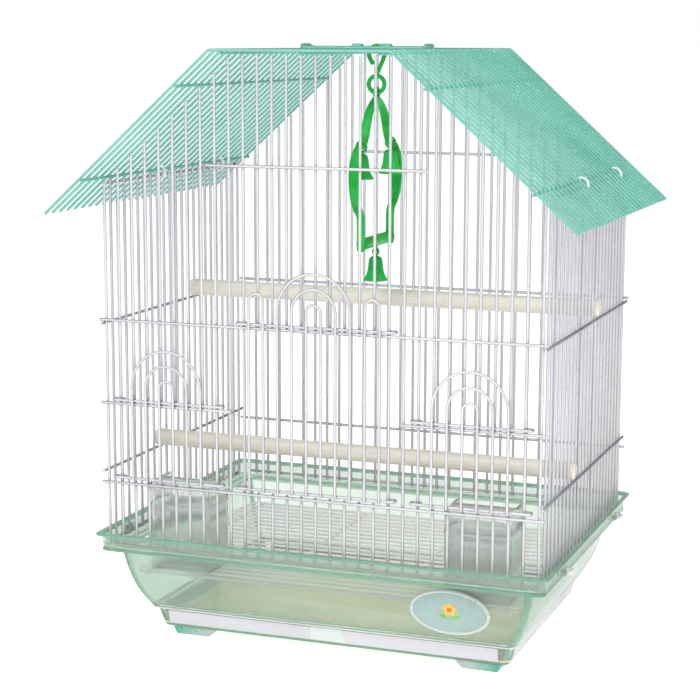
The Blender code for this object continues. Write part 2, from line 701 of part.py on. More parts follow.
def strap(path):
    """A flexible flat band bent in the YZ plane, whose eight-sided section changes along it."""
    bm = bmesh.new()
    loops = []
    for k, (y, z, half_width, half_depth) in enumerate(path):
        before = path[max(k - 1, 0)]
        after = path[min(k + 1, len(path) - 1)]
        along = Vector((0, after[0] - before[0], after[1] - before[1])).normalized()
        depth = along.cross(Vector((1, 0, 0)))
        middle = Vector((0, y, z))
        loop = []
        for step in range(8):
            angle = math.pi / 4 * (step + 0.5)
            across = half_width * math.cos(angle) / math.cos(math.pi / 8)
            through = half_depth * math.sin(angle) / math.cos(math.pi / 8)
            loop.append(bm.verts.new(middle + Vector((across, 0, 0)) + depth * through))
        loops.append(loop)
    for near, far in zip(loops, loops[1:]):
        for i in range(8):
            j = (i + 1) % 8
            bm.faces.new((near[i], near[j], far[j], far[i]))
    bm.faces.new(loops[0][::-1])
    bm.faces.new(loops[-1])
    bmesh.ops.recalc_face_normals(bm, faces=bm.faces)
    return mesh_from(bm)


def bell(name, y, hinge_z, loop_radius, loop_tube, frame_pivot):
    """A bell that swings on the loop of its crown, with a clapper inside."""
    pivot = pivot_at(name + "_hinge", (0, y, hinge_z), frame_pivot)
    crown = hinge_z - loop_radius - loop_tube - 0.0004
    outside = [(share * BELL_R, -drop * BELL_HEIGHT) for drop, share in BELL_PROFILE]
    inside = [(r - BELL_WALL, z - BELL_WALL) for r, z in outside[:-1]]
    inside.append((BELL_R - BELL_WALL, -BELL_HEIGHT))
    profile = [(0, 0)] + outside + inside[::-1] + [(0, -BELL_WALL)]
    shell = turned(name, profile, 14, TOY_PLASTIC, pivot, (0, y, crown))
    loop = torus_mesh((0, y, hinge_z), (0, 1, 0), loop_radius, loop_tube, 10, 6)
    combine(shell, loop, "UNION", name + "_loop")
    neck = cylinder((0, y, crown - 0.0004), (0, y, hinge_z - loop_radius), BELL_NECK_R, 8)
    combine(shell, neck, "UNION", name + "_neck")
    ball_z = crown - BELL_HEIGHT + 0.0035
    stem = cylinder((0, y, ball_z), (0, y, crown - BELL_WALL - 0.0003), STEM_R, 6)
    clapper = add_part(name + "_clapper", stem, TOY_PLASTIC, pivot)
    ball = bmesh.new()
    bmesh.ops.create_icosphere(
        ball, subdivisions=1, radius=CLAPPER_R, matrix=Matrix.Translation((0, y, ball_z)))
    combine(clapper, mesh_from(ball), "UNION", name + "_clapper_ball")


def toy_hook():
    """An open hook over the roof's middle rail, with the toy's ring below it."""
    pivot = pivot_at("toy_hook_hinge", (0, 0, TOP_RAIL_Z), CAGE)
    top = TOP_RAIL_Z + WIRE_R + GAP + LINK_R * HUMP_SWELL
    path = [                  # distance along X, height, share of the radius
        (-0.0024, 0.3924, 1), (-0.0048, 0.3961, 1), (-0.0056, 0.3995, 1.1),
        (-0.0040, top - 0.0015, 1.3), (0, top, HUMP_SWELL), (0.0040, top - 0.0015, 1.3),
        (0.0056, 0.3995, 1.1), (0.0044, 0.3950, 1), (0.0016, 0.3890, 1),
        (0, TOY_RING_Z + TOY_RING_R, 1),
    ]
    wire = bent_wires([[(x, 0, z) for x, z, _ in path]], LINK_R, 1, swell=[s for *_, s in path])
    hook = add_part("toy_hook", wire, TOY_PLASTIC, pivot)
    ring = torus_mesh((0, 0, TOY_RING_Z), (0, 1, 0), TOY_RING_R, LINK_R, 16, 6)
    combine(hook, ring, "UNION", "toy_hook_ring")
    return pivot


def toy():
    """A lyre-shaped frame with a perch bar and three bells, hung from the hook's ring."""
    hinge_z = TOY_RING_Z - TOY_RING_R
    pivot = pivot_at("toy_frame_hinge", (0, 0, hinge_z), toy_hook())
    eye_radius = 0.0036
    eye_tube = 0.0014
    eye_z = hinge_z + LINK_R + GAP + eye_tube - eye_radius
    apex = eye_z - eye_radius - 0.0004
    rear = list(TOY_STRAP)
    front = [(-y, *rest) for y, *rest in rear[::-1]]
    middle = (0, apex, 0.0020, 0.0020)
    frame = add_part("toy_frame", strap(front + [middle] + rear), TOY_PLASTIC, pivot)
    eye = torus_mesh((0, 0, eye_z), (1, 0, 0), eye_radius, eye_tube, 12, 6)
    combine(frame, eye, "UNION", "toy_frame_eye")
    rod_y, _, _, rod_half = TOY_STRAP[-1]
    bar_end = rod_y - rod_half - 0.0002
    bar = add_part(
        "toy_perch", cylinder((0, -bar_end, TOY_BAR_Z), (0, bar_end, TOY_BAR_Z), TOY_BAR_R, 12),
        TOY_PLASTIC, pivot)
    ring_radius = 0.0022
    loop_tube = 0.0008
    ring_z = TOY_BAR_Z - TOY_BAR_R - 0.0012
    combine(bar, torus_mesh((0, 0, ring_z), (1, 0, 0), ring_radius, loop_tube, 12, 6), "UNION",
            "toy_perch_ring")
    shoulder_loop = SHOULDER_R + GAP + loop_tube
    bell("front_bell", -SHOULDER_Y, SHOULDER_Z, shoulder_loop, loop_tube, pivot)
    bell("rear_bell", SHOULDER_Y, SHOULDER_Z, shoulder_loop, loop_tube, pivot)
    bell("centre_bell", 0, ring_z - ring_radius, 0.0021, loop_tube, pivot)


def main():
    front_panel()
    back_panel()
    side_panel("left_panel", -1)
    side_panel("right_panel", 1)
    roof_slope("roof_left_slope", -1)
    roof_slope("roof_right_slope", 1)
    roof_top()
    doors()
    tray = base_tray()
    floor_grille()
    for front_or_back, side_y in (("front", -1), ("back", 1)):
        for hand, side_x in (("left", -1), ("right", 1)):
            foot(f"{hand}_{front_or_back}_foot", side_x, side_y)
            base_clip(f"{hand}_{front_or_back}_base_clip", side_x, side_y, tray)
            roof_clip(f"{hand}_{front_or_back}_roof_clip", side_x, 0.02 + side_y * 0.05)
    badge()
    perch("upper_perch", UPPER_PERCH_Y, SIDE_RING_HIGH)
    perch("lower_perch", LOWER_PERCH_Y, SIDE_RING_LOW)
    feeder_cup("left_feeder_cup", -FEEDER_X)
    feeder_cup("right_feeder_cup", FEEDER_X)
    carry_handle()
    toy()


main()
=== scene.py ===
"""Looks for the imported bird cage: round coated wires, clear moulded plastic, wood and a toy.

Pieces are modelled in the cage's own coordinates, in metres with zero under the middle of the
wire walls, and are moved by SHIFT into the row frame.
"""

import math

import bmesh
import bpy
from mathutils import Matrix, Vector


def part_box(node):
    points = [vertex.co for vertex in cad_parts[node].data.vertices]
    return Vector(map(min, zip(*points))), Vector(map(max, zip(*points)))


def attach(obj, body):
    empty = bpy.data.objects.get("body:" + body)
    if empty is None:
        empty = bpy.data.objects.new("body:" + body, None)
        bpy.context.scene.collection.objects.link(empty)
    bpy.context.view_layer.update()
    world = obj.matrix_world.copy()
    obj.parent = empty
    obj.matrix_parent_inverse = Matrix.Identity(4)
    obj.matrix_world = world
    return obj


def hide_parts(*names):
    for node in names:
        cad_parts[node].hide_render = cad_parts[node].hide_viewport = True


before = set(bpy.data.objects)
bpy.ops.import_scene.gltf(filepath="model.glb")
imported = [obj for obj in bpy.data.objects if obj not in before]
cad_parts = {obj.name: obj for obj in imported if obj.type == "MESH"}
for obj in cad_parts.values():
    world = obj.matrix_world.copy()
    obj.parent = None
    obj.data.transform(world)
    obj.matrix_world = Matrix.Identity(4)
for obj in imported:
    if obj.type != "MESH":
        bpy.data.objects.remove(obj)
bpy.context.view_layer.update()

# Dimensions of the CAD model
front_low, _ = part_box("front_panel")
_, back_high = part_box("back_panel")
SHIFT = Vector((0, (front_low.y + back_high.y) / 2, 0))
HALF_WIDTH = 0.150
HALF_DEPTH = 0.115
PITCH = 0.010
WIRE_R = 0.001
LAP = 0.0017                  # centre distance of two welded, crossing wires
CLEAR = 0.0024                # centre distance of two wires that slide past each other
WALL_FOOT = 0.0688
FOOT_RAIL = 0.0702
RING_LOW = 0.113
RING_MID = 0.1676
RING_HIGH = 0.224
GUIDE_RAIL = 0.3288
SIDE_RING_LOW = 0.1204
SIDE_RING_HIGH = 0.2213
SIDE_RAIL = 0.3145
SIDE_TOP = 0.317
BACK_RAIL = 0.3255
CORNERS = [(x, y, f"{hand}_{place}") for x, hand in ((-1, "left"), (1, "right"))
           for y, place in ((-1, "front"), (1, "back"))]
OVERRUN = 0.0045
RAIL_REACH = 0.146            # half the length of a foot rail
GUIDE_REACH = 0.076
BACK_REACH = 0.056
SIDE_X = HALF_WIDTH + 0.0008
SIDE_OVERRUN = 0.0035
SIDE_RAIL_OVERRUN = 0.003
ROOF_TOP = 0.4023
ROOF_FLAT = 0.0599
EAVE_X = 0.178
EAVE_Z = 0.296
ROOF_FRONT = -0.145
ROOF_BACK = 0.125
ROOF_ANGLE = math.atan2(ROOF_TOP - EAVE_Z, EAVE_X - ROOF_FLAT)
SLOPE = math.hypot(EAVE_X - ROOF_FLAT, ROOF_TOP - EAVE_Z)
SLOPE_RAILS = (0.20, 0.775)
DOOR_BAR_Y = -(HALF_DEPTH + CLEAR)
DOOR_WIRE_Y = DOOR_BAR_Y - LAP
DOOR_LOW = 0.117
MAIN_GUIDE = 0.050
MAIN_TOP = RING_HIGH + CLEAR + 0.0002
FEEDER_X = 0.105
FEEDER_GUIDE = 0.035
FEEDER_TOP = RING_MID + CLEAR + 0.0002


# Shapes

def steps_between(low, high, pitch=PITCH):
    return [low + pitch * k for k in range(round((high - low) / pitch) + 1)]


def smooth_path(points, steps=5, closed=False):
    """Catmull-Rom points through tuples of any length."""
    count = len(points)
    rows = [Vector(p) for p in points]

    def at(k):
        return rows[k % count] if closed else rows[min(max(k, 0), count - 1)]

    made = []
    for k in range(count if closed else count - 1):
        a, b, c, d = at(k - 1), at(k), at(k + 1), at(k + 2)
        for step in range(steps):
            t = step / steps
            made.append(0.5 * (2 * b + (c - a) * t + (2 * a - 5 * b + 4 * c - d) * t ** 2
                               + (3 * b - a - 3 * c + d) * t ** 3))
    if not closed:
        made.append(rows[-1])
    return made


def rounded(path, radius, steps=5, closed=False):
    """A polyline whose corners are replaced by arcs."""
    corners = [Vector(p) for p in path]
    count = len(corners)
    made = []
    for i, corner in enumerate(corners):
        if not closed and i in (0, count - 1):
            made.append(corner)
            continue
        back = (corners[i - 1] - corner).normalized()
        ahead = (corners[(i + 1) % count] - corner).normalized()
        half = back.angle(ahead) / 2
        centre = corner + (back + ahead).normalized() * (radius / math.sin(half))
        reach = radius / math.tan(half)
        first = (corner + back * reach - centre).normalized()
        last = (corner + ahead * reach - centre).normalized()
        made += [centre + first.slerp(last, k / steps) * radius for k in range(steps + 1)]
    return made


def turns(steps):
    return [2 * math.pi * k / steps for k in range(steps)]


def circle(centre, across, up, radius, steps):
    """Points round a circle in the plane of two unit vectors."""
    return [centre + (across * math.cos(a) + up * math.sin(a)) * radius for a in turns(steps)]


def rounded_rectangle(centre, half_x, half_y, z, radius, steps):
    """Points round a rectangle with round corners, at one height."""
    made = []
    for quarter, (sx, sy) in enumerate(((1, 1), (-1, 1), (-1, -1), (1, -1))):
        for k in range(steps + 1):
            angle = math.pi / 2 * (quarter + k / steps)
            made.append((centre[0] + sx * (half_x - radius) + radius * math.cos(angle),
                         centre[1] + sy * (half_y - radius) + radius * math.sin(angle), z))
    return made


class Shape:
    """Gathers tubes, rings, lofts and blocks in one mesh."""

    def __init__(self):
        self.bm = bmesh.new()

    def loft(self, loops, closed=False):
        """Skins rows of points that have equal counts, with end caps unless closed."""
        rows = [[self.bm.verts.new(p) for p in loop] for loop in loops]
        pairs = list(zip(rows, rows[1:]))
        if closed:
            pairs.append((rows[-1], rows[0]))
        count = len(rows[0])
        for near, far in pairs:
            for i in range(count):
                j = (i + 1) % count
                self.bm.faces.new((near[i], near[j], far[j], far[i]))
        if not closed:
            self.bm.faces.new(rows[0][::-1])
            self.bm.faces.new(rows[-1])
        return self

    def tube(self, path, radius=WIRE_R, sides=10, closed=False, swell=None):
        """A round wire along a path, with domed ends; swell is a share of the radius per point."""
        points = [Vector(p) for p in path]
        count = len(points)
        full = radius
        tip = 0.55            # length of a domed end, as a share of the radius
        dome = [(tip, 0.35), (0.7 * tip, 0.8)]
        loops = []
        side = None
        for k, here in enumerate(points):
            before = points[k - 1] if k or closed else here
            after = points[(k + 1) % count] if k + 1 < count or closed else here
            along = (after - before).normalized()
            side = along.orthogonal() if side is None else side - along * side.dot(along)
            side.normalize()
            up = along.cross(side)
            radius = full * swell[k] if swell else full
            sections = [(here, radius)]
            if not closed and k == 0:
                sections = [(here + along * radius * (tip - out), radius * share)
                            for out, share in dome] + [(here + along * radius * tip, radius)]
            if not closed and k == count - 1:
                sections = [(here - along * radius * tip, radius)] + [
                    (here - along * radius * (tip - out), radius * share)
                    for out, share in dome[::-1]]
            loops += [circle(place, side, up, r, sides) for place, r in sections]
        return self.loft(loops, closed=closed)

    def ring(self, centre, normal, radius, tube, steps=28, sides=10):
        """A closed round ring."""
        normal = Vector(normal).normalized()
        across = normal.orthogonal().normalized()
        path = circle(Vector(centre), across, normal.cross(across), radius, steps)
        return self.tube(path, tube, sides, closed=True)

    def weld(self, place, radius=0.00105):
        """The small bead of a spot weld under its coating."""
        bmesh.ops.create_icosphere(
            self.bm, subdivisions=1, radius=radius, matrix=Matrix.Translation(place))
        return self

    def turned(self, profile, centre, steps=40):
        """A profile of (radius, height) points spun round an upright axis."""
        centre = Vector(centre)
        across, up = Vector((1, 0, 0)), Vector((0, 1, 0))
        loops = [circle(centre + Vector((0, 0, z)), across, up, max(r, 0.00002), steps)
                 for r, z in profile]
        return self.loft(loops)

    def block(self, low, high, bevel, segments=3):
        """A box with rounded edges."""
        low, high = Vector(low), Vector(high)
        made = bmesh.ops.create_cube(
            self.bm, size=1,
            matrix=Matrix.Translation((low + high) / 2) @ Matrix.Diagonal((*(high - low), 1)))
        edges = list({e for v in made["verts"] for e in v.link_edges})
        if bevel:
            bmesh.ops.bevel(self.bm, geom=edges, offset=bevel, segments=segments,
                            affect="EDGES", profile=0.5)
        return self

    def mesh(self, name):
        bmesh.ops.recalc_face_normals(self.bm, faces=self.bm.faces)
        mesh = bpy.data.meshes.new(name)
        self.bm.to_mesh(mesh)
        self.bm.free()
        return mesh

    def piece(self, name, body, surface, slot, *nodes, angle=50):
        """Ends the shape: one object that rides on a body and stands for CAD nodes."""
        return finish_piece(self.mesh(name), name, body, surface, nodes, angle)


def finish_piece(mesh, name, body, surface, nodes=(), angle=50):
    mesh.transform(Matrix.Translation(SHIFT))
    mesh.materials.clear()
    mesh.materials.append(surface)
    mesh.shade_smooth()
    mesh.set_sharp_from_angle(angle=math.radians(angle))
    made = bpy.data.objects.new(name, mesh)
    bpy.context.scene.collection.objects.link(made)
    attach(made, body)
    if nodes:
        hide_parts(*nodes)
    return made


def mark_edges(mesh, share_at):
    """Stores a share from 0 to 1 per point, which the clear plastics read."""
    edge = mesh.attributes.new("edge", "FLOAT", "POINT")
    for vertex, value in zip(mesh.vertices, edge.data):
        value.value = share_at(vertex.co)


def carved(base, cutters, bevel=0.0):
    """A mesh with other meshes cut out of it, and its new edges softened."""
    scene = bpy.context.scene
    made = bpy.data.objects.new("carving", base)
    scene.collection.objects.link(made)
    tools = []
    for mesh in cutters:
        tool = bpy.data.objects.new("cutter", mesh)
        scene.collection.objects.link(tool)
        tools.append(tool)
        step = made.modifiers.new("cut", "BOOLEAN")
        step.solver = "EXACT"
        step.operation = "DIFFERENCE"
        step.object = tool
    if bevel:
        soften = made.modifiers.new("soften", "BEVEL")
        soften.width = bevel
        soften.segments = 2
        soften.limit_method = "ANGLE"
        soften.angle_limit = math.radians(40)
    graph = bpy.context.evaluated_depsgraph_get()
    mesh = bpy.data.meshes.new_from_object(made.evaluated_get(graph))
    for thing in [made, *tools]:
        bpy.data.objects.remove(thing, do_unlink=True)
    return mesh


# Materials

def new_material(name, **sockets):
    """A Principled material with constant sockets; an underscore stands for a space."""
    made = bpy.data.materials.new(name)
    made.use_nodes = True
    shader = made.node_tree.nodes["Principled BSDF"]
    for key, value in sockets.items():
        shader.inputs[key.replace("_", " ")].default_value = value
    return made


def new_node(made, kind, **sockets):
    """A shader node whose sockets are set, or linked where the value is another's output."""
    node = made.node_tree.nodes.new("ShaderNode" + kind)
    for key, value in sockets.items():
        socket = node.inputs[key.replace("_", " ")]
        if isinstance(value, bpy.types.NodeSocket):
            made.node_tree.links.new(value, socket)
        else:
            socket.default_value = value
    return node


def noise_of(made, scale, detail=3.0, stretch=(1, 1, 1), distortion=0.0):
    """Noise in the object's own space; stretch multiplies the frequency on each axis."""
    place = made.node_tree.nodes.get("Texture Coordinate") or new_node(made, "TexCoord")
    mapping = new_node(made, "Mapping", Scale=stretch, Vector=place.outputs["Object"])
    noise = new_node(made, "TexNoise", Scale=scale, Detail=detail, Distortion=distortion,
                     Vector=mapping.outputs["Vector"])
    return noise.outputs["Fac"]


def ramp_of(made, factor, *stops):
    """A colour ramp of (position, colour) stops."""
    ramp = new_node(made, "ValToRGB", Fac=factor)
    elements = ramp.color_ramp.elements
    while len(elements) < len(stops):
        elements.new(0.5)
    for element, (position, colour) in zip(elements, stops):
        element.position = position
        element.color = (*colour, 1)
    return ramp.outputs["Color"]


def mixed(made, factor, first, second, mode="MIX"):
    """Two colours, or colour outputs, mixed by a factor or a factor output."""
    node = new_node(made, "Mix")
    node.data_type = "RGBA"
    node.blend_type = mode
    for socket, value in ((node.inputs[0], factor), (node.inputs[6], first),
                          (node.inputs[7], second)):
        if isinstance(value, bpy.types.NodeSocket):
            made.node_tree.links.new(value, socket)
        else:
            socket.default_value = value if socket.type == "VALUE" else (*value, 1)
    return node.outputs[2]


def plug(made, socket, output):
    made.node_tree.links.new(output, made.node_tree.nodes["Principled BSDF"].inputs[socket])


def spread(made, factor, low, high, start=0.3, end=0.7):
    """A factor mapped from start and end, its usual middle range, onto low to high."""
    return new_node(made, "MapRange", Value=factor, From_Min=start, From_Max=end, To_Min=low,
                    To_Max=high).outputs["Result"]


def bump(made, factor, distance, strength=1.0):
    """Adds a bump over any bump that the shader already has."""
    node = new_node(made, "Bump", Distance=distance, Strength=strength, Height=factor)
    normal = made.node_tree.nodes["Principled BSDF"].inputs["Normal"]
    if normal.links:
        made.node_tree.links.new(normal.links[0].from_socket, node.inputs["Normal"])
    plug(made, "Normal", node.outputs["Normal"])


def coated_wire(name, dark, light, mark, rim, painted_glow=0.0):
    """Glossy coating on steel: orange peel, colour drift and dull marks, with painted shade that
    darkens the base colour towards each wire's silhouette; an emission strength, when given, is
    painted light.
    """
    # Emission_Strength here is painted light: the coating glows though it is no lamp.
    made = new_material(name, Coat_Weight=0.25, Coat_Roughness=0.15, Emission_Strength=painted_glow)
    drift = ramp_of(made, noise_of(made, 22, 2), (0.3, dark), (0.7, light))
    marks = spread(made, noise_of(made, 420, 4), -1.6, 0.6)
    worn = mixed(made, marks, drift, mark)
    # painted shade: a Layer Weight facing ramp multiplies the base colour down to the rim colour
    # towards each wire's silhouette
    painted_silhouette_shade = new_node(made, "LayerWeight", Blend=0.5)
    edge = ramp_of(made, painted_silhouette_shade.outputs["Facing"], (0.16, (1, 1, 1)), (0.72, rim))
    plug(made, "Base Color", mixed(made, 1.0, worn, edge, "MULTIPLY"))
    plug(made, "Roughness", spread(made, noise_of(made, 160), 0.26, 0.44))
    bump(made, noise_of(made, 900, 2), 0.00006, 0.5)
    return made


def absorb(made, colour, density):
    volume = new_node(made, "VolumeAbsorption", Color=(*colour, 1), Density=density)
    output = made.node_tree.nodes["Material Output"]
    made.node_tree.links.new(volume.outputs["Volume"], output.inputs["Volume"])


def clear_plastic(name, dark, light, transmission, rough, flow=0.00005):
    """Clear moulded plastic with slow flow marks and a little haze."""
    made = new_material(name, Transmission_Weight=transmission, IOR=1.45)
    tint = ramp_of(made, noise_of(made, 14, 2, (1, 1, 2.5)), (0.3, dark), (0.7, light))
    plug(made, "Base Color", tint)
    plug(made, "Roughness", spread(made, noise_of(made, 60, 4), rough * 0.7, rough * 1.4))
    bump(made, noise_of(made, 38, 2, (1, 1, 2), 0.6), flow)
    return made


def moulded(name, dark, light, rough=0.3, **sockets):
    """Opaque moulded plastic with a fine grain."""
    made = new_material(name, **sockets)
    plug(made, "Base Color", ramp_of(made, noise_of(made, 70, 4), (0.3, dark), (0.7, light)))
    plug(made, "Roughness", spread(made, noise_of(made, 240), rough * 0.7, rough * 1.4))
    bump(made, noise_of(made, 1300, 2), 0.00004, 0.4)
    return made


def perch_wood():
    """Pale turned dowel: long grain along X, faint rings and small pores."""
    made = new_material("perch_wood", Specular_IOR_Level=0.3)
    grain = noise_of(made, 900, 6, (0.012, 1, 1), 0.4)
    broad = noise_of(made, 160, 3, (0.03, 1, 1), 1.5)
    colour = ramp_of(made, grain, (0.30, (0.86, 0.78, 0.68)), (0.50, (0.94, 0.90, 0.83)),
                     (0.75, (0.97, 0.95, 0.91)))
    bands = ramp_of(made, broad, (0.35, (0.93, 0.89, 0.82)), (0.65, (1.0, 1.0, 0.98)))
    plug(made, "Base Color", mixed(made, 0.8, colour, bands, "MULTIPLY"))
    plug(made, "Roughness", spread(made, grain, 0.5, 0.72))
    bump(made, grain, 0.00018, 0.7)
    bump(made, noise_of(made, 2200, 2, (0.05, 1, 1)), 0.00006, 0.5)
    return made


def tint_of(made):
    return made.node_tree.nodes["Principled BSDF"].inputs["Base Color"].links[0].from_socket


def edged(made, colour, clear, edge_clear):
    """Blends a clear plastic towards a deeper colour along the mesh's edge attribute."""
    edge = new_node(made, "Attribute")
    edge.attribute_name = "edge"
    plug(made, "Base Color", mixed(made, edge.outputs["Fac"], tint_of(made), colour))
    share = spread(made, edge.outputs["Fac"], clear, edge_clear, 0, 1)
    plug(made, "Transmission Weight", share)
    return share


def tray_plastic():
    """Pale green clear plastic with deep green edges; its floor is warmer and less clear."""
    made = clear_plastic("tray_clear_plastic", (0.76, 0.80, 0.74), (0.83, 0.86, 0.80), 0.92, 0.10)
    made.node_tree.nodes["Principled BSDF"].inputs["Alpha"].default_value = 0.85
    clear = edged(made, (0.10, 0.46, 0.27), 0.92, 0.25)
    absorb(made, (0.50, 0.85, 0.66), 100.0)
    place = made.node_tree.nodes["Texture Coordinate"].outputs["Object"]
    height = new_node(made, "SeparateXYZ", Vector=place).outputs["Z"]
    both = new_node(made, "Math")
    both.operation = "MULTIPLY"
    floor_fades = ((0.0104, 0.0099), (0.0090, 0.0094))    # heights above and below the inner floor
    for socket, (start, end) in zip(both.inputs, floor_fades):
        made.node_tree.links.new(spread(made, height, 0, 1, start, end), socket)
    floor_share = both.outputs["Value"]
    warm = ramp_of(made, noise_of(made, 30, 3), (0.3, (0.98, 0.74, 0.37)),
                   (0.7, (1.0, 0.84, 0.50)))
    plug(made, "Base Color", mixed(made, floor_share, tint_of(made), warm))
    opaque = new_node(made, "Math")
    opaque.operation = "MULTIPLY_ADD"
    opaque.use_clamp = True
    opaque.inputs[1].default_value = -0.85
    made.node_tree.links.new(floor_share, opaque.inputs[0])
    made.node_tree.links.new(clear, opaque.inputs[2])
    plug(made, "Transmission Weight", opaque.outputs["Value"])
    return made


def foot_plastic():
    made = clear_plastic("foot_clear_plastic", (0.74, 0.80, 0.79), (0.84, 0.87, 0.87), 0.5, 0.3)
    edged(made, (0.08, 0.50, 0.33), 0.5, 0.2)
    return made


# The last colour given to each coated wire is its painted edge shade, the darkest its silhouette
# is painted.
WHITE = coated_wire("white_coated_wire", (0.68, 0.67, 0.70), (0.78, 0.77, 0.80),
                    (0.58, 0.57, 0.61), (0.20, 0.19, 0.24))
# painted light: the grille's coating glows a little, so its shadowed wires look brighter
GRILLE = coated_wire("grille_coated_wire", (0.62, 0.61, 0.62), (0.70, 0.69, 0.69),
                     (0.55, 0.54, 0.55), (0.66, 0.65, 0.67), painted_glow=0.21)
TEAL = coated_wire("teal_coated_wire", (0.14, 0.50, 0.39), (0.22, 0.61, 0.50),
                   (0.38, 0.68, 0.59), (0.66, 0.74, 0.72))
TRAY = tray_plastic()
FOOT = foot_plastic()
MILKY = clear_plastic("milky_plastic", (0.68, 0.67, 0.71), (0.76, 0.75, 0.79), 0.12, 0.35, 0.00002)
LEDGE = clear_plastic("ledge_plastic", (0.74, 0.80, 0.77), (0.82, 0.87, 0.84), 0.12, 0.35, 0.00002)
FROST = clear_plastic("frosted_plastic", (0.80, 0.88, 0.84), (0.90, 0.95, 0.93), 0.45, 0.25)
SMOKE = clear_plastic("smoky_plastic", (0.80, 0.82, 0.81), (0.87, 0.89, 0.88), 0.90, 0.12)
CLIP = moulded("white_moulded_plastic", (0.86, 0.88, 0.86), (0.93, 0.94, 0.92), 0.35)
TEAL_PLASTIC = moulded("teal_moulded_plastic", (0.14, 0.52, 0.41), (0.20, 0.62, 0.50), 0.3)
TOY = moulded("bright_green_plastic", (0.004, 0.36, 0.035), (0.030, 0.60, 0.090), 0.36,
              Specular_IOR_Level=0.2, Subsurface_Weight=0.10,
              Subsurface_Radius=(0.002, 0.006, 0.002), Subsurface_Scale=0.4)
WOOD = perch_wood()
PLATE = moulded("badge_plate_plastic", (0.30, 0.43, 0.40), (0.38, 0.51, 0.48), 0.22,
                Coat_Weight=0.4, Coat_Roughness=0.10)
YELLOW = moulded("yellow_print", (0.78, 0.50, 0.04), (0.90, 0.64, 0.08), 0.3)
ORANGE = moulded("orange_print", (0.66, 0.14, 0.03), (0.80, 0.22, 0.05), 0.3)
LEAF = moulded("leaf_print", (0.14, 0.42, 0.06), (0.26, 0.58, 0.11), 0.3)


# Wire walls

def roof_height(x):
    return ROOF_TOP - max(0.0, abs(x) - ROOF_FLAT) * math.tan(ROOF_ANGLE)


def wall_top(x):
    gap_flat, gap_slope = 0.0031, 0.0050
    return roof_height(x) - (gap_flat if abs(x) < ROOF_FLAT else gap_slope)


def wall_spans(x):
    """Heights between which the front wall's wire at x runs."""
    stub = WIRE_R * 1.6
    top = wall_top(x)
    if abs(x) < MAIN_GUIDE - PITCH / 2:
        return [(WALL_FOOT, RING_LOW + stub), (RING_HIGH - stub, top)]
    if abs(abs(x) - FEEDER_X) < FEEDER_GUIDE - PITCH / 2:
        return [(WALL_FOOT, RING_LOW + stub), (RING_MID - stub, top)]
    return [(WALL_FOOT, top)]


def end_wall(shape, y, outward, uprights, rails):
    """Upright wires with rails on their outer side, and a weld at each crossing."""
    rail_y = y + outward * LAP
    for x, low, high in uprights:
        shape.tube([(x, y, low), (x, y, high)])
    for start, end, z in rails:
        shape.tube([(start, rail_y, z), (end, rail_y, z)])
        for x, low, high in uprights:
            if start <= x <= end and low <= z <= high:
                shape.weld((x, y + outward * LAP / 2, z))


def front_wall():
    uprights = [(x, low, high) for x in steps_between(-HALF_WIDTH, HALF_WIDTH)
                for low, high in wall_spans(x)]
    end = HALF_WIDTH + OVERRUN
    inner = MAIN_GUIDE + PITCH - WIRE_R * 1.2
    rails = [(-RAIL_REACH, RAIL_REACH, FOOT_RAIL), (-end, end, RING_LOW), (-end, end, RING_HIGH),
             (-end, -inner, RING_MID), (inner, end, RING_MID),
             (-GUIDE_REACH, GUIDE_REACH, GUIDE_RAIL)]
    shape = Shape()
    end_wall(shape, -HALF_DEPTH, -1, uprights, rails)
    shape.piece("front_wall_wires", "cage", WHITE, "white_wire", "front_panel")


def back_wall():
    uprights = [(x, WALL_FOOT, wall_top(x)) for x in steps_between(-HALF_WIDTH, HALF_WIDTH)]
    end = HALF_WIDTH + OVERRUN
    rails = [(-RAIL_REACH, RAIL_REACH, FOOT_RAIL), (-end, end, RING_LOW), (-end, end, RING_HIGH),
             (-BACK_REACH, BACK_REACH, BACK_RAIL)]
    shape = Shape()
    end_wall(shape, HALF_DEPTH, 1, uprights, rails)
    shape.piece("back_wall_wires", "cage", WHITE, "white_wire", "back_panel")


def side_wall(hand, side):
    x = side * SIDE_X
    rail_x = x + side * LAP
    reach = HALF_DEPTH - PITCH
    end = HALF_DEPTH + SIDE_OVERRUN
    short = reach + SIDE_RAIL_OVERRUN
    ys = steps_between(-reach, reach)
    shape = Shape()
    for y in ys:
        shape.tube([(x, y, WALL_FOOT), (x, y, SIDE_TOP)])
    for half, z in ((short, FOOT_RAIL), (end, SIDE_RING_LOW), (end, SIDE_RING_HIGH),
                    (short, SIDE_RAIL)):
        shape.tube([(rail_x, -half, z), (rail_x, half, z)])
        for y in ys:
            shape.weld((x + side * LAP / 2, y, z))
    shape.piece(f"{hand}_wall_wires", "cage", WHITE, "white_wire", f"{hand}_panel")


# Roof

def on_slope(side, along, y, inward=0.0):
    x = ROOF_FLAT + along * math.cos(ROOF_ANGLE) - inward * math.sin(ROOF_ANGLE)
    z = ROOF_TOP - along * math.sin(ROOF_ANGLE) - inward * math.cos(ROOF_ANGLE)
    return Vector((side * x, y, z))


